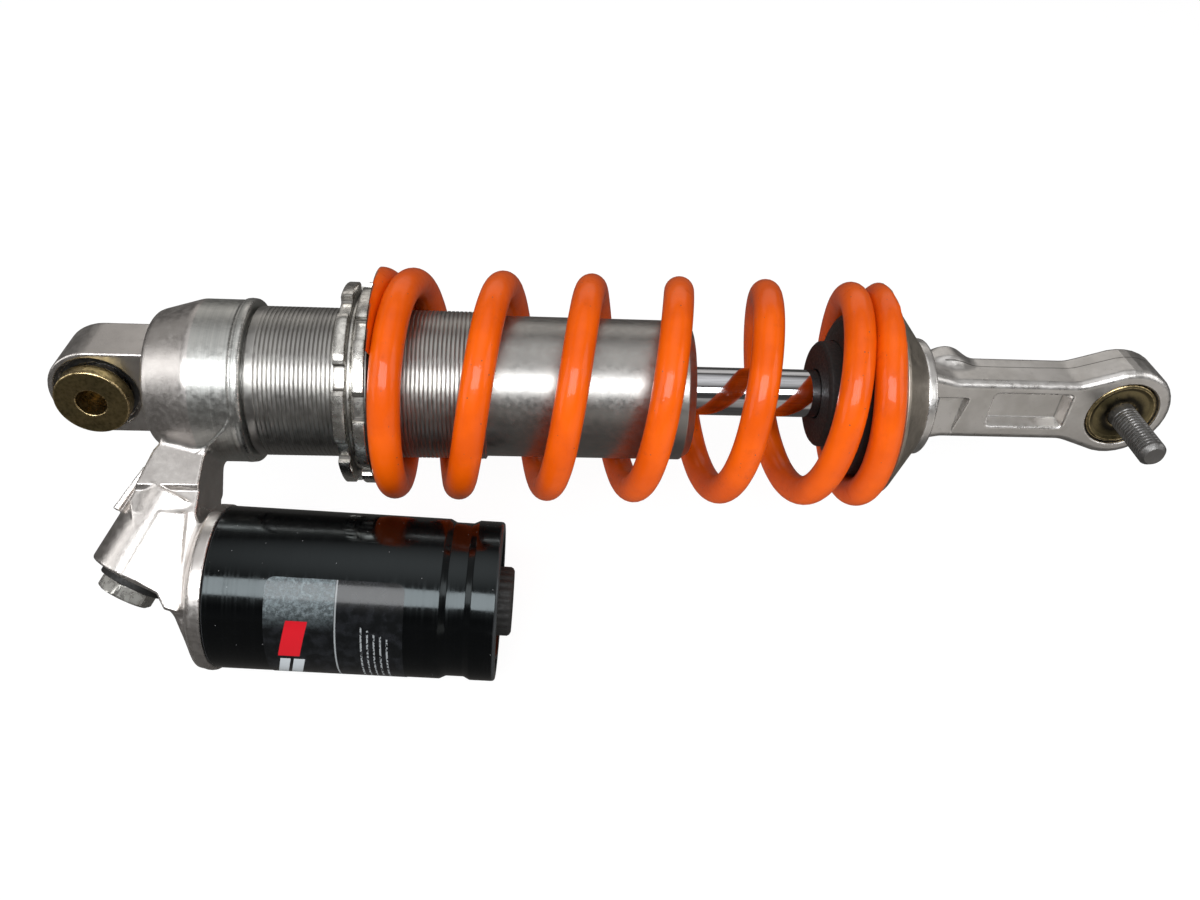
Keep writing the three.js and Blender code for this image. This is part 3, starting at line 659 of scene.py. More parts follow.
def gloss_black():
    """The can's gloss black: a clear coat over black, with dust specks, fine rub marks and a painted bluish
    highlight on its edges.
    """
    s = Shader("gloss_black")
    dust = s.specks(0.35, 0.07, 0.4)
    rub = s.math("MULTIPLY", s.spread(s.noise(0.22, 6.0, rough=0.7), 0.5, 0.8), 0.5)
    colour = s.mix(rub, (0.0008, 0.0009, 0.0011), (0.0022, 0.0024, 0.0028))
    colour = s.mix(dust, colour, (0.16, 0.16, 0.16))
    # Painted highlight: edges lightened to a bluish grey, the colour of the window's reflection.
    colour = s.mix(s.spread(s.edge, 0.3, 1.0, 0.0, 0.35), colour, (0.09, 0.095, 0.10))
    scuff = s.tool_lines(RES, 1.2)
    roughness = s.math("ADD", s.spread(scuff, 0.4, 0.75, 0.10, 0.2), s.math("MULTIPLY", rub, 0.15))
    wave = s.bump(s.noise(0.05, 2.0), 0.12)
    return s.finish(
        base_color=colour,
        roughness=roughness,
        ior=1.46,
        specular_tint=(0.86, 0.97, 1.0),
        normal=wave,
    )


def machined(s, colour):
    """The mouth of the head, turned to a greyer, more even tone than the cast skin."""
    barrel = s.spread(s.radius(SHOCK), RING_R + 0.2, RING_R + 0.6, 1.0, 0.0)
    mouth = s.spread(s.along(SHOCK), MACHINED_FROM - 0.2, MACHINED_FROM + 0.3)
    brushed = s.spread(s.tool_lines(SHOCK, 1.5), 0.3, 0.7)
    tone = s.mix(brushed, (0.50, 0.505, 0.485), (0.58, 0.58, 0.555))
    return s.mix(s.math("MULTIPLY", barrel, mouth), colour, tone)


def parting(s, colour):
    """The thin dark line that the forging dies left along the top and bottom of the arm."""
    place = s.node("SeparateXYZ", s.mm)
    y = s.math("ADD", place.outputs["Y"], s.math("MULTIPLY", s.noise(0.05, 2.0), 1.2))
    off = s.math("ABSOLUTE", s.math("SUBTRACT", y, 2.4))
    line = s.spread(off, 0.12, 0.3, 0.75, 0.0)
    high = s.math("GREATER_THAN", s.math("ABSOLUTE", place.outputs["Z"]), ARM_TOP - 0.6)
    beyond = s.math("GREATER_THAN", s.along(SHOCK), FLANGE[1] + 8)
    shown = s.math("MULTIPLY", line, s.math("MULTIPLY", high, beyond))
    return s.mix(shown, colour, (0.05, 0.045, 0.04))


def greasy(s, colour):
    """Dark grease round the pin holes of the lower spacers."""
    smear = s.math("ADD", s.radius(LOWER), s.math("MULTIPLY", s.noise(0.35, 4.0), 3.0))
    grease = s.spread(smear, 8.4, 11.5, 0.94, 0.0)
    return s.mix(grease, colour, (0.012, 0.011, 0.010))


CAST = metal("cast_aluminium", (0.74, 0.705, 0.675), (0.64, 0.605, 0.58), 0.33,
             grain=0.04, grain_scale=1.6, corner_shade_and_grime=0.2, wear=0.55, stains=0.16, marks=machined)
FORGED = metal("forged_aluminium", (0.74, 0.72, 0.70), (0.62, 0.60, 0.575), 0.33,
               grain=0.03, grain_scale=1.4, corner_shade_and_grime=0.35, wear=0.7, stains=0.18, marks=parting)
ZINC = dict(lines=0.02, line_scale=2.0, grain=0.02, corner_shade_and_grime=0.8, wear=0.9, stains=0.45,
            edge_wear_and_highlight_colour=(0.85, 0.66, 0.36))
SPACER = metal("zinc_plate", (0.22, 0.165, 0.07), (0.15, 0.12, 0.05), 0.34, UPPER, **ZINC)
GREASED = metal("zinc_plate_greased", (0.22, 0.18, 0.095), (0.145, 0.12, 0.06), 0.30, LOWER,
                marks=greasy, **ZINC)
TURNED = metal("turned_tube", (0.43, 0.42, 0.40), (0.375, 0.365, 0.35), 0.34,
               corner_shade_and_grime=0.0, wear=0.0, stains=0.03)
RINGS = metal("ring_metal", (0.66, 0.645, 0.61), (0.48, 0.455, 0.42), 0.3, SHOCK,
              lines=0.012, line_scale=2.2, grain=0.03, corner_shade_and_grime=0.7, wear=0.7, stains=0.25)
BEARING = metal("bearing_steel", (0.44, 0.44, 0.44), (0.34, 0.34, 0.34), 0.3, UPPER,
                lines=0.02, stains=0.4)
BALL = metal("polished_steel", (0.66, 0.66, 0.66), (0.56, 0.56, 0.56), 0.14, stains=0.15)
CIRCLIP = metal("spring_steel", (0.20, 0.20, 0.20), (0.13, 0.13, 0.13), 0.42, grain=0.03)
BRONZE = metal("bronze", (0.56, 0.36, 0.17), (0.42, 0.26, 0.12), 0.32, SHOCK, lines=0.02)
SEAT = metal("seat_steel", (0.14, 0.135, 0.13), (0.09, 0.085, 0.08), 0.4, SHOCK, lines=0.02)
SHIM = metal("shim_steel", (0.50, 0.50, 0.51), (0.42, 0.42, 0.43), 0.22, SHOCK, lines=0.01)
BOLT = metal("dull_steel", (0.25, 0.245, 0.24), (0.18, 0.175, 0.17), 0.5, grain=0.05,
             grain_scale=2.5, corner_shade_and_grime=0.7, wear=0.5, stains=0.4)
RETAINER = metal("retainer_grey", (0.40, 0.355, 0.30), (0.31, 0.275, 0.23), 0.46, SHOCK,
                 lines=0.025, line_scale=2.0, corner_shade_and_grime=0.6, wear=0.9, stains=0.6,
                 edge_wear_and_highlight_colour=(0.62, 0.58, 0.52))
HEX = metal("hex_metal", (0.70, 0.69, 0.65), (0.60, 0.59, 0.55), 0.28, grain=0.02,
            grain_scale=0.9, corner_shade_and_grime=0.7, wear=0.7, stains=0.3)
RUBBER = rubber("black_rubber", (0.007, 0.0068, 0.0065))
CAP = rubber("black_cap", (0.009, 0.0088, 0.0085), 0.5)
PAINT = spring_paint()
CHROME = chrome()
GLOSS = gloss_black()

# The CAD nodes that nothing stands for get the finish of their slot.
for node, shape in frame["nodes"].items():
    shape.data.materials.clear()
    shape.data.materials.append(FINISHES.get(SLOT_OF[node], GLOSS))


# ---- head casting

BARREL = rounded([
    (HEAD_START, -4),
    (HEAD_START, 24.4, 3.6),
    (35.5, BARREL_R, 6),
    (HEAD_END, BARREL_R),
    (HEAD_END, -4),
])
RING = rounded([(50.5, 20), (50.5, RING_R, 0.4), (HEAD_END, RING_R, 1.2), (HEAD_END, 20)])
NECK = rounded([
    (29, 18), (41, 18), (39.6, 32, 6), (39.2, 50, 6), (42.5, 60, 8), (44, 72),
    (24, 72), (16.5, 46, 3), (22, 28, 3),
])
BLOCK = rounded([
    (27.5, 49.7, 1), (36.4, 49.8, 0.6), (36.2, 84, 1), (31.4, 82.6, 1), (28.6, 77.6), (17, 71.4),
])
GUSSET = rounded([(24, 60), (31.4, 82.6, 1), (35, 89.8, 4), (40.4, 99.4, 2), (45, 102), (45, 60)])
RIB = rounded([(20.8, 34.8, 0.4), (11.8, 49.4, 0.4), (10.2, 48.4, 0.4), (19.2, 33.8, 0.4)])
HOUSING = rounded([(-32, -4), (-32, 15.5), (0, 15.5, 1.3), (0, -4)])
CAP_CONE = rounded([
    (-14, -4), (-14, 7.5, 2), (-10.4, 14, 3), (-6.6, 24.6, 2), (-4.4, 28.4, 1.2),
    (-0.3, 28.4, 0.4), (-0.3, 24.7), (8, 24.7), (8, -4),
])
EYE_HOLE = [(-1, -1), (-1, 13.15), (8, 13.15), (8, 13.7), (9.7, 14.3), (12, 15.2), (12, -1)]


def stadium(x, z, r, length):
    """Distance to a bar with a round end at x = 0."""
    return np.hypot(x - np.clip(x, 0, length), z) - r


def head_field(p):
    x, y, z = p
    radius = np.hypot(y, z)
    out = y * SIDE[1] + z * SIDE[2]
    across = y * ACROSS[1] + z * ACROSS[2]
    body = extruded(stadium(x, z, LUG_R, 40), y, LUG_HALF, 0.9)
    body = merge(body, outline_distance(BARREL, x, radius), 1.5)

    # The raised ring at the mouth runs down into the bridge as a web.
    turn = np.degrees(np.arccos(np.clip(out / np.maximum(radius, 1e-3), -1, 1)))
    web_start = np.interp(turn, [0, 14, 28, 42, 56], [34, 36, 42, 48, 52])
    web = np.maximum(np.maximum(radius - RING_R, web_start - x), x - 52)
    body = merge(body, np.maximum(web, 24 - radius), 0.5)
    body = merge(body, outline_distance(RING, x, radius), 0.5)

    thickness = np.interp(out, [26, 40.6, 42.4, 50, 60], [10.6, 14.2, 12.8, 14.4, 14.4])
    neck = extruded(outline_distance(NECK, x, out), across, thickness, 0.9)
    block = extruded(outline_distance(BLOCK, x, out), across, 15.4, 1.0)
    gusset = extruded(outline_distance(GUSSET, x, out), across, 10, 3)
    rib = extruded(outline_distance(RIB, x, out), across + 4, 6.5, 0.4)
    reach, from_valve = ADJ.measure(p)
    housing = outline_distance(HOUSING, reach, from_valve)
    housing = np.maximum(housing, x - 39.5)
    cap = outline_distance(CAP_CONE, *RES.measure(p))
    bridge = merge(merge(neck, rib, 0.4), merge(housing, block, 1.2), 0.8)
    bridge = merge(bridge, merge(cap, gusset, 3), 2.5)
    body = merge(body, bridge, 3)

    eye = outline_distance(EYE_HOLE, np.abs(y), np.hypot(x, z))
    body = carve(body, eye, 0.4)
    bore = np.maximum(radius - 25.05, 40 - x)
    body = carve(body, bore, 0.4)
    valve_bore = np.maximum(from_valve - 9.35, np.maximum(-22 - reach, reach - 3))
    return carve(body, valve_bore, 0.5)


def shock_head():
    casting("shock_head", head_field, 0.62, 1.1, CAST)


# ---- bearings

def spacers(eye, axis, outline, material):
    """The near spacer of an eye, and its mirror image on the far side."""
    for side, way in (("near", -1), ("far", 1)):
        points = [(way * s, *rest) for s, *rest in outline]
        turned(f"{eye}_spacer_{side}", axis, points, material)


def upper_spacers():
    spacers("upper", UPPER, [
        (0.15, PIN_HOLE_R), (0.15, 7.3), (7.1, 7.3), (7.1, 8.9), (11.4, 8.9, 0.5),
        (11.4, 12.7, 0.4), (16.5, 12.7, 0.75), (16.5, PIN_HOLE_R, 0.55),
    ], SPACER)


def lower_spacers():
    spacers("lower", LOWER, [
        (0.15, PIN_HOLE_R), (0.15, 7.3), (6.1, 7.3), (6.1, 8.9), (6.9, 8.9), (6.9, 13.1, 0.3),
        (8.7, 13.1, 0.7), (9.2, 12.0, 0.5), (8.5, 10.6, 0.8), (9.15, 7.2, 0.8),
        (9.2, PIN_HOLE_R, 0.3),
    ], GREASED)


# ---- damper tube, rings

def thread(s, angle, start, end, radius, pitch, depth, run):
    """Radius of a threaded bar: narrow grooves that fade out at both ends."""
    phase = s / pitch - angle / (2 * math.pi)
    groove = np.maximum(np.cos(2 * math.pi * phase), 0) ** 3
    fade = np.clip(np.minimum(s - start, end - s) / run, 0, 1)
    return radius - depth * groove * fade


def damper_tube():
    start, end = span("damper_tube")
    shoulder, thread_end = 55.6, 136
    angles = circle(128)
    groove = (THREAD_R, THREAD_PITCH, 0.4, 1.0)
    rows = [(start, 23), (start, 25), (shoulder - 0.8, 25)]
    rows += rounded([
        (shoulder - 0.8, 25), (shoulder - 0.6, THREAD_R - 0.1, 0.5), (shoulder + 2, THREAD_R),
    ], False)
    for s in np.arange(shoulder + 2.1, thread_end - 0.3, THREAD_PITCH / 9):
        rows.append((s, thread(s, angles, shoulder + 2, thread_end - 0.4, *groove)))
    rows += rounded([
        (thread_end, THREAD_R, 0.3), (thread_end + 0.6, 25.9, 0.3), (end - 2.8, 25.9, 0.8),
        (end - 0.5, 24.2, 0.4), (end, 23.9, 0.2), (end, 23, 0.2), (end - 2.6, 23), (end - 30, 23),
    ], False)
    polar("damper_tube", SHOCK, rows, TURNED, angles, sharp=40)


def notched(radius, floor, centre_deg, marks):
    """(angles, radii) of a rim with eight notches and the dents that a punch leaves by them."""
    half = 7
    angles, radii = [], []
    for k in range(8):
        shape = [(-22.5, radius), (0, floor)]
        for side, hit in zip((-1, 1), marks.uniform(0, 1, 2) ** 2):
            flank = [
                (3, floor), (half - 0.6, floor), (half, floor + 0.35),
                (half + 0.4, radius - 0.3 - 0.6 * hit), (half + 1.3, radius - 0.15 - 0.5 * hit),
                (half + 2.6, radius), (13, radius), (18, radius),
            ]
            shape += [(side * a, r) for a, r in flank]
        for a, r in sorted(shape):
            angles.append(math.radians(centre_deg + 45 * k + a))
            radii.append(r)
    return np.array(angles), np.array(radii)


def preload_ring(node, centre_deg, hub, seed):
    """A slotted round nut: a hub with a notched rim round it."""
    start, end = span(node)
    rim_start = start + hub[0]
    rim_end = end - hub[1]
    angles, rim = notched(36.5, 33.9, centre_deg, np.random.default_rng(seed))
    rows = [
        (start, 27.2),
        (start, 30.9), (start + 0.3, 31.2) if hub[0] > 0.5 else (start, 31.1),
        (rim_start, 31.3),
        (rim_start, rim - 0.45), (rim_start + 0.15, rim - 0.15), (rim_start + 0.45, rim),
        (rim_end - 0.45, rim), (rim_end - 0.15, rim - 0.15), (rim_end, rim - 0.45),
        (rim_end, 31.3),
        (end - 0.3 if hub[1] > 0.5 else end, 31.2), (end, 30.9),
        (end, 27.2),
    ]
    polar(node, SHOCK, rows, RINGS, angles, sharp=28)


def preload():
    preload_ring("lock_ring", 8, (0.2, 1.1), 3)
    preload_ring("adjuster_ring", 25, (1.2, 0), 8)
    start, end = span("spring_seat")
    turned("spring_seat", SHOCK, ring_outline(start, end, 27.4, 36.8, 0.15), SEAT)


# ---- spring

SPRING_R = 36.7
WIRE_R = 5.5
FIRST_TURN, LAST_TURN = 0.139, 7.361  # turns past -Y
COIL_AT_TWO = 130.7  # the wire's place two turns past -Y
OPEN_PITCH = 32.2
TIP_DROP = 11.2  # from an end turn to the tip that tapers away under it


def eased(a, b, blend):
    """The larger of a and b, or the smaller for a negative blend, eased where they cross."""
    near = np.maximum(abs(blend) - np.abs(a - b), 0) / abs(blend)
    return (np.maximum if blend > 0 else np.minimum)(a, b) + near * near * blend / 4


def coil_place(turns):
    """Where the wire's centre is along the shock: open coils between end turns that lie flat."""
    start, end = span("spring")

    def middle(turn):
        rising = eased(start + WIRE_R, COIL_AT_TWO + OPEN_PITCH * (turn - 2), 4)
        return eased(end - WIRE_R, rising, -4)

    here = middle(turns)
    first = eased(here, middle(turns + 1) - TIP_DROP, -1)
    last = eased(here, middle(turns - 1) + TIP_DROP, 1)
    return np.where(turns < 1, first, np.where(turns > LAST_TURN - 1, last, here))


def spring():
    steps, sides = 560, 28
    turns = np.linspace(FIRST_TURN, LAST_TURN, steps)
    a = 2 * math.pi * turns
    zero = np.zeros(steps)
    outward = np.stack([zero, -np.cos(a), np.sin(a)], 1)
    middle = np.stack([coil_place(turns), zero, zero], 1) + SPRING_R * outward
    tangent = np.gradient(middle, axis=0)
    tangent /= np.linalg.norm(tangent, axis=1)[:, None]
    upward = np.cross(tangent, outward)
    around = circle(sides)
    wire = middle[:, None, :] + WIRE_R * (
        np.cos(around)[None, :, None] * outward[:, None, :]
        + np.sin(around)[None, :, None] * upward[:, None, :]
    )
    start, end = span("spring")
    wire[..., 0] = np.clip(wire[..., 0], start, end)
    faces = []
    for k in range(steps - 1):
        for i in range(sides):
            j = (i + 1) % sides
            faces.append((k * sides + i, k * sides + j, (k + 1) * sides + j, (k + 1) * sides + i))
    faces.append(tuple(range(sides)))
    faces.append(tuple((steps - 1) * sides + i for i in reversed(range(sides))))
    mesh = bpy.data.meshes.new("spring")
    mesh.from_pydata((wire.reshape(-1, 3) * MM + EYE_PLACE).tolist(), [], faces)
    mesh.polygons.foreach_set("use_smooth", [True] * len(mesh.polygons))
    mesh.update()
    shell = bmesh.new()
    shell.from_mesh(mesh)
    bmesh.ops.recalc_face_normals(shell, faces=shell.faces)
    shell.to_mesh(mesh)
    shell.free()
    mesh.set_sharp_from_angle(angle=math.radians(40))
    flat = np.abs(wire[..., 0] - start) < 0.01
    flat |= np.abs(wire[..., 0] - end) < 0.01
    set_edge(mesh, flat.ravel().astype(float))
    mesh.materials.append(PAINT)
    piece = add_object("spring_fine", mesh)

    # The open coils share the travel, and the closed end coils stay on their seats.
    open_turns = (turns - FIRST_TURN - 1) / (LAST_TURN - FIRST_TURN - 2)
    share = np.repeat(np.clip(open_turns, 0, 1), sides)
    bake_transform(piece, "damper_body", "rod_unit", start=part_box("spring")[0], end=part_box("spring")[1])
    mesh.attributes["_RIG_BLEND"].data.foreach_set("value", share.astype(np.float32))
    group = piece.vertex_groups.new(name="preload")
    for index, value in enumerate(share):
        group.add([index], float(1 - value), "REPLACE")
    hook = piece.modifiers.new("preload", "HOOK")
    hook.object = frame["bodies"]["preload_seat"]
    hook.vertex_group = group.name
    hook.matrix_inverse = Matrix.Identity(4)
    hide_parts("spring")


# ---- rod and its end

def rod_end():
    start, end = span("piston_rod")
    neck_end = 181  # the thinner end that carries the piston
    turned("piston_rod", SHOCK, [
        (start, 2.6), (start, 5, 0.5), (neck_end, 5), (neck_end, ROD_R, 0.6), (end, ROD_R, 0.6),
        (end, 2.6),
    ], CHROME, angles=64)
    low, high = span("dust_cap")
    turned("dust_cap", SHOCK, ring_outline(low, high, 13, 22.9, 0.5, 0.3), CAP)
    low, high = span("rod_wiper")
    turned("rod_wiper", SHOCK, [
        (low, 9.3), (low, 12.7), (high - 0.9, 12.7, 0.5), (high, 9.9, 0.3), (high - 0.3, 9.25),
    ], RUBBER, angles=64)
    low, high = span("bump_stop")
    turned("bump_stop", SHOCK, [
        (low, 9.4, 0.6), (low, 18.6, 0.8), (low + 1.2, 19.9, 1), (high, 20), (high, 9.4),
    ], RUBBER)
    low, high = span("spring_guide")
    nest = high - 4.6
    turned("spring_guide", SHOCK, [
        (low, 20.25, 0.2), (low + 0.4, 21.2, 0.3), (low + 2.4, 27.5, 2), (low + 4, 30, 0.8),
        (low + 5, 30.4, 0.5), (high, 30.4), (high, 9.4), (nest, 9.4), (nest, 20.25),
    ], CAP)
    low, high = span("spring_retainer")
    turned("spring_retainer", SHOCK, [
        (low, 12.2), (low, 37.7, 0.3), (low + 0.5, 38, 0.25), (low + 1.5, 37.6, 0.4),
        (high - 0.9, 24, 0.6), (high, 22.9, 0.3), (high, 12.2),
    ], RETAINER, angles=128)


# ---- lower arm

def arc(cx, cz, r, start, end, steps=24):
    return [
        (cx + r * math.cos(math.radians(a)), cz + r * math.sin(math.radians(a)))
        for a in np.linspace(start, end, steps)
    ]


def arm_outline():
    flare = LOWER_X - 20
    eye = arc(LOWER_X, 0, EYE_R, 115, -115)
    upper = [
        (FLANGE[0] + 0.4, 15.4), (FLANGE[1], 15.4, 3), (FLANGE[1] + 10, ARM_TOP, 12),
        (flare, ARM_TOP, 14), (flare + 7.5, ARM_TOP + 2.6, 14), eye[0],
    ]
    lower = [(p[0], -p[1], *p[2:]) for p in reversed(upper)]
    top = rounded(upper, False)
    bottom = rounded(lower, False)
    return top[:-1] + eye + bottom[1:]


ARM = arm_outline()
HUB = rounded([
    (span("lower_arm")[0], -4), (span("lower_arm")[0], 12), (FLANGE[0], 12, 0.4),
    (FLANGE[0], 22, 0.9), (FLANGE[1], 22, 1.1), (FLANGE[1], -4),
])
POCKET = rounded([(323.9, -6.9, 2.2), (354.6, -6.9, 2.2), (354.6, 8.4, 2.2), (323.9, 8.4, 2.2)])
RECESS = rounded([(290, -12), (311, -12, 2), (314.8, 5.8, 1.2), (290, 5.8)])
LOWER_HOLE = [(-1, -1), (-1, 13.15), (6.2, 13.15), (6.2, 13.4), (9, 13.75), (11, 14.4), (11, -1)]


def arm_field(p):
    x, y, z = p
    radius = np.hypot(y, z)
    body = extruded(outline_distance(ARM, x, z), y, ARM_HALF, 3.1)
    body = np.maximum(body, FLANGE[0] + 0.4 - x)
    hub = outline_distance(HUB, x, radius)
    from_boss = np.hypot(x - BOSS[0], z - BOSS[1])
    boss = extruded(from_boss - BOSS_R, y - 6.6, 4.9, 2.4)
    body = merge(body, boss, 4.5)
    body = merge(body, hub, 1.2)

    # Pockets on both faces, with walls that slope, and a shallow one that fades out by the flange.
    pocket = outline_distance(POCKET, x, z)
    depth = ARM_HALF - np.abs(y)
    body = carve(body, np.maximum(pocket + 0.5 * depth, depth - 4.4), 0.7)
    floor = 2.4 * np.clip((z + 10) / 13, 0, 1)
    recess = np.maximum(outline_distance(RECESS, x, z) + 0.3 * depth, ARM_HALF + y - floor)
    recess = np.maximum(recess, FLANGE[1] - 0.2 - x)
    body = carve(body, np.maximum(recess, y), 0.7)

    eye = outline_distance(LOWER_HOLE, np.abs(y), np.hypot(x - LOWER_X, z))
    body = carve(body, eye, 0.4)
    body = carve(body, np.maximum(from_boss - 4.4, 2 - y), 0.4)
    socket = np.maximum(radius - 9.05, x - 304.4)
    return carve(body, socket, 0.3)


def lower_arm():
    casting("lower_arm", arm_field, 0.5, 1.0, FORGED)


def lower_bolt():
    """The bolt from its chamfered tip to its flanged hexagon head, along +Y."""
    tip, thread_end, seat, top = -34.8, -11.8, 9.3, 11.9
    angles = circle(64)
    rows = rounded([(tip, 0.1), (tip, 3.5, 0.3), (tip + 0.4, 3.9), (tip + 1.5, 4.85, 0.3)], False)
    for s in np.arange(tip + 1.7, thread_end, BOLT_PITCH / 8):
        radius = thread(s, angles, tip + 0.8, thread_end, BOLT_R, BOLT_PITCH, 0.75, 1.2)
        rows.append((s, radius))
    rows += rounded([
        (thread_end + 0.2, BOLT_R), (seat, BOLT_R), (seat, 11, 0.4), (seat + 1.6, 11, 0.5),
        (top, 9.4, 0.3),
    ], False)
    rows += hexagon(angles, 15, [(top, 0), (top + 5.5, 0), (top + 6, 0.5), (top + 6.4, 1.2)])
    polar("lower_bolt", LOWER, rows, BOLT, angles, closed=False, sharp=35)


# ---- reservoir

def reservoir():
    """The can with its rolled groove, its end cap and the knurled cover of its gas valve."""
    groove_start, groove_end, length = 77, 85.5, 95.3
    waist = CAN_R - 1.1
    turned("reservoir_body", RES, [
        (0, 25), (0, CAN_R, 0.4), (groove_start - 1, CAN_R, 1.2), (groove_start + 1.2, waist, 1.2),
        (groove_end - 1.2, waist, 1.2), (groove_end + 1, CAN_R, 1.2), (length, CAN_R, 2.6),
        (length, 25.2, 0.5), (length - 2.2, 25), (length - 2.2, 24.8), (60, 25),
    ], GLOSS, angles=144)
    turned("reservoir_end_cap", RES, [
        (80, 4.6), (80, 24.9), (90.6, 24.9, 0.4), (90.9, 20, 0.5), (90.9, 14, 1), (92.6, 12.6, 0.4),
        (92.6, 4.6),
    ], CAP)
    angles = circle(192)
    ribs = 12.0 + 0.18 * np.cos(24 * angles)
    rows = [
        (92.8, 5), (92.8, 11.6), (93.2, ribs), (98.4, ribs), (99.2, ribs - 0.45), (99.7, 10.8),
        (99.7, 7.5), (99.2, 7.0), (99.2, 3.2), (99.75, 2.6), (99.8, 0.2), (96.8, 0.2), (96.8, 5),
    ]
    polar("valve_cover", RES, rows, RUBBER, angles, sharp=30)


LABEL_S = (19.8, 64.8)
LABEL_ANGLE = (math.radians(-6.5), math.radians(113))  # from the can's upper side, to the front
LABEL_R = CAN_R + 0.02
DIVIDER = 42.6  # where the thin line between the label's two halves is


def label_patch():
    """The can's label: a thin film with round corners."""
    corner = 3.0
    along = np.concatenate([
        LABEL_S[0] + corner * (1 - np.cos(np.linspace(0, math.pi / 2, 8))),
        np.linspace(LABEL_S[0] + corner + 1, LABEL_S[1] - corner - 1, 24),
        LABEL_S[1] - corner * (1 - np.cos(np.linspace(math.pi / 2, 0, 8))),
    ])
    inset = np.maximum(corner - np.minimum(along - LABEL_S[0], LABEL_S[1] - along), 0)
    trim = (corner - np.sqrt(corner**2 - inset**2)) / LABEL_R
    across = np.linspace(0, 1, 56)
    angles = (LABEL_ANGLE[0] + trim)[:, None] * (1 - across)
    angles = angles + (LABEL_ANGLE[1] - trim)[:, None] * across
    s = np.repeat(along[:, None], len(across), 1)
    outer = RES.place(s, np.full_like(s, LABEL_R + 0.1), angles).reshape(-1, 3)
    inner = RES.place(s, np.full_like(s, LABEL_R), angles).reshape(-1, 3)
    rows, columns = s.shape
    offset = rows * columns
    faces = []
    for i in range(rows - 1):
        for j in range(columns - 1):
            a = i * columns + j
            quad = (a, a + 1, a + columns + 1, a + columns)
            faces.append(quad)
            faces.append(tuple(offset + q for q in reversed(quad)))
    rim = list(range(columns))
    rim += [i * columns + columns - 1 for i in range(1, rows)]
    rim += [(rows - 1) * columns + j for j in reversed(range(columns - 1))]
    rim += [i * columns for i in reversed(range(1, rows - 1))]
    for a, b in zip(rim, rim[1:] + rim[:1]):
        faces.append((a, b, offset + b, offset + a))
    return build("reservoir_label", np.concatenate([outer, inner]), faces)


def label_finish():
    """A satin black film with a scuffed silver corner, two plain colour bars and thin rules."""
    s = Shader("label_print")
    along = s.along(RES)
    turn = s.math("MULTIPLY", s.angle(RES), LABEL_R)

    def band(value, low, high, soft=0.12):
        up = s.spread(value, low - soft, low + soft)
        down = s.spread(value, high - soft, high + soft, 1.0, 0.0)
        return s.math("MULTIPLY", up, down)

    def block(a0, a1, b0, b1):
        return s.math("MULTIPLY", band(along, a0, a1), band(turn, b0, b1))

    cloudy = s.spread(s.noise(0.3, 5.0), 0.4, 0.7)
    base = s.mix(cloudy, (0.004, 0.0045, 0.005), (0.011, 0.012, 0.014))
    scuff = s.spread(s.noise(0.7, 9.0, rough=0.8), 0.40, 0.62)
    fade = s.math("MULTIPLY", s.spread(turn, 4, 15, 1.0, 0.0), band(along, 19, DIVIDER - 0.2))
    silver = s.math("MULTIPLY", fade, s.math("MULTIPLY_ADD", scuff, 0.5, 0.15))
    colour = s.mix(silver, base, (0.30, 0.36, 0.38))

    # Two plain slanted bars, and rules broken into short dashes.
    slant = s.math("MULTIPLY_ADD", turn, 0.22, along)
    red = s.math("MULTIPLY", band(slant, 29.5, 36.5), band(turn, 11, 25.5))
    white = s.math("MULTIPLY", band(slant, 30.5, 38.5), band(turn, 27, 44))
    gap = band(slant, 33.8, 34.9)
    colour = s.mix(red, colour, (0.52, 0.008, 0.016))
    white = s.math("SUBTRACT", white, s.math("MULTIPLY", gap, white))
    colour = s.mix(white, colour, (0.46, 0.49, 0.51))
    rules = block(DIVIDER, DIVIDER + 0.5, -4, 52)
    flat = s.node("CombineXYZ", turn, along, 0.0).outputs[0]
    dash = s.spread(s.noise(1.1, 1.0, flat), 0.42, 0.5)
    for k in range(5):
        at = 51 + 2.1 * k
        rules = s.math("MAXIMUM", rules, s.math("MULTIPLY", block(at, at + 0.55, 12 + k, 46), dash))
    colour = s.mix(s.math("MULTIPLY", rules, 0.8), colour, (0.34, 0.36, 0.37))
    divider = band(along, DIVIDER, DIVIDER + 0.4, 0.08)
    roughness = s.math("MULTIPLY_ADD", silver, 0.25, 0.2)
    relief = s.math("ADD", s.math("MULTIPLY", silver, scuff), divider)
    return s.finish(
        base_color=colour,
        metallic=s.math("MULTIPLY", silver, 0.7),
        roughness=roughness,
        specular_ior_level=0.2,
        coat_weight=0.3,
        coat_roughness=0.1,
        normal=s.bump(relief, 0.08),
    )


# ---- compression adjuster

def compression_adjuster():
    """The hexagon of the high speed adjuster, hollow for the slotted screw, on its washer."""
    angles = circle(96)
    places = [(2.5, 0.9), (3, 0.25), (3.4, 0), (6.7, 0), (7.1, 0.5), (7.5, 1.3)]
    rows = [(-11, 3.4), (-11, 9), (2.5, 9)]
    rows += hexagon(angles, 16.6, places)
    rows += [(7.5, 4.2), (7.0, 3.4)]
    polar("high_speed_adjuster", ADJ, rows, HEX, angles, sharp=30)
    turned("adjuster_washer", ADJ, ring_outline(0.15, 2.6, 9.2, 11.0, 0.4), RUBBER)


# ---- assembly

shock_head()
upper_spacers()
damper_tube()
preload()
spring()
rod_end()
lower_arm()
lower_spacers()
lower_bolt()
reservoir()
show(label_patch(), "reservoir_label", label_finish())
compression_adjuster()


# ---- stage

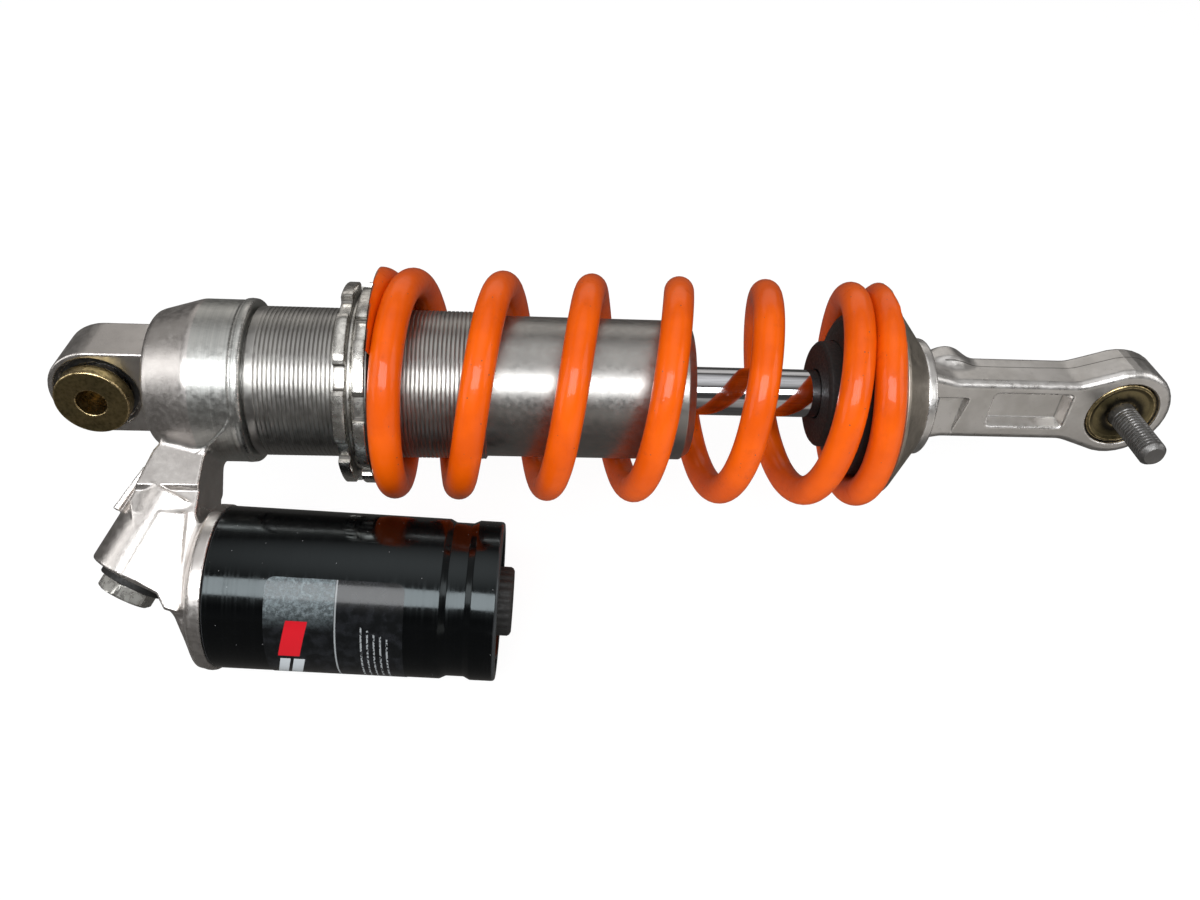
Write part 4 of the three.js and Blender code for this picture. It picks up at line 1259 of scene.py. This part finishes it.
def floor():
    """A pale floor that is mostly white to the camera, and in reflections a dim glow with painted shade
    under and behind the shock.
    """
    size = 6.0
    lowest = min(cad_box[0][2], cad_box[1][2]) - 0.0005
    middle = (Vector(cad_box[0]) + Vector(cad_box[1])) / 2
    corners = [(middle.x + a * size, middle.y + b * size, lowest)
               for a, b in ((-1, -1), (1, -1), (1, 1), (-1, 1))]
    mesh = bpy.data.meshes.new("floor")
    mesh.from_pydata(corners, [], [(0, 1, 2, 3)])
    plane = add_object("floor", mesh)
    s = Shader("floor")
    ray = s.node("LightPath")
    speckle = s.spread(s.noise(0.01, 3.0), 0.3, 0.7, 0.97, 1.0)
    matt = s.node("BsdfDiffuse", s.mix(speckle, (0.9, 0.9, 0.9), (0.93, 0.93, 0.93)))
    glow = s.node("Emission", (1, 1, 1, 1), 1.08)
    seen = s.node("MixShader", 0.85, matt.outputs[0], glow.outputs[0])
    # In reflections the floor glows dim with painted shade: darkest under and behind the shock, lighter only
    # ahead of the lower arm.
    place = s.node("SeparateXYZ", s.mm)
    ahead = s.spread(place.outputs["Y"], -105.0, -70.0, 1.0, 0.0)
    beside = s.spread(place.outputs["X"], 200.0, 290.0)
    below = s.math("MULTIPLY_ADD", s.math("MULTIPLY", ahead, beside), 0.40, 0.08)
    floor_reflection_with_painted_shade = s.node("Emission", (1.0, 0.96, 0.91, 1), below)
    shader = s.node("MixShader", ray.outputs["Is Glossy Ray"], seen.outputs[0], floor_reflection_with_painted_shade.outputs[0])
    s.surface(shader)
    mesh.materials.append(s.material)


def world():
    """White behind the object, and a dimmer room in its reflections."""
    made = bpy.data.worlds.new("studio")
    bpy.context.scene.world = made
    nodes = Nodes(made, "OutputWorld")
    place = nodes.node("TexCoord").outputs["Generated"]
    ramp = nodes.node("ValToRGB", nodes.node("SeparateXYZ", place).outputs["Z"])
    stops = ramp.color_ramp.elements

    # Brightness from straight below, at 0, to straight above, where the last stop stays white.
    for at, level in ((0, 0.10), (0.30, 0.05), (0.62, 0.36), (0.82, 0.10)):
        stop = stops.new(at) if at else stops[0]
        stop.color = (level, level * 0.97, level * 0.94, 1)
    room = nodes.node("Background", ramp.outputs[0])
    white = nodes.node("Background", (1, 1, 1, 1))
    seen = nodes.node("LightPath").outputs["Is Camera Ray"]
    nodes.surface(nodes.node("MixShader", seen, room.outputs[0], white.outputs[0]))


def compass(azimuth, elevation):
    """The direction out to a place round the object, given in degrees from -Y and up."""
    a, e = math.radians(azimuth), math.radians(elevation)
    return Vector((-math.sin(a) * math.cos(e), -math.cos(a) * math.cos(e), math.sin(e)))


def lamp(name, azimuth, elevation, distance, width, height, power, colour=(1, 1, 1)):
    """A soft rectangular light aimed at the object from a compass direction round it."""
    target = (Vector(cad_box[0]) + Vector(cad_box[1])) / 2
    away = compass(azimuth, elevation)
    light = bpy.data.lights.new(name, "AREA")
    light.shape = "RECTANGLE"
    light.size = width
    light.size_y = height
    light.energy = power
    light.color = colour
    lit = add_object(name, light)
    lit.location = target + away * distance
    lit.rotation_euler = away.to_track_quat("Z", "Y").to_euler()


def camera():
    """A 29.5 mm lens close by, looking down at the shock from its pin side."""
    lens = bpy.data.cameras.new("camera")
    lens.lens = 29.51
    lens.sensor_width = 36
    eye = add_object("camera", lens)
    roll = Matrix.Rotation(math.radians(4.32), 4, "Z").to_quaternion()
    turn = compass(5.21, 37.94).to_track_quat("Z", "Y") @ roll
    eye.location = EYE + Vector((151.83, -302.17, 207.45)) * MM
    eye.rotation_euler = turn.to_euler()
    bpy.context.scene.camera = eye


floor()
world()
lamp("window", 10, 42, 1.6, 1.6, 0.66, 25, (0.96, 0.98, 1.0))
lamp("back_wall", 184, 34, 2.2, 2.4, 1.1, 4, (1.0, 0.97, 0.93))
lamp("left_fill", 75, 20, 2.0, 1.0, 1.2, 6)
lamp("right_fill", -70, 25, 2.0, 1.0, 1.2, 6)
camera()
bpy.context.scene.view_settings.view_transform = "Standard"
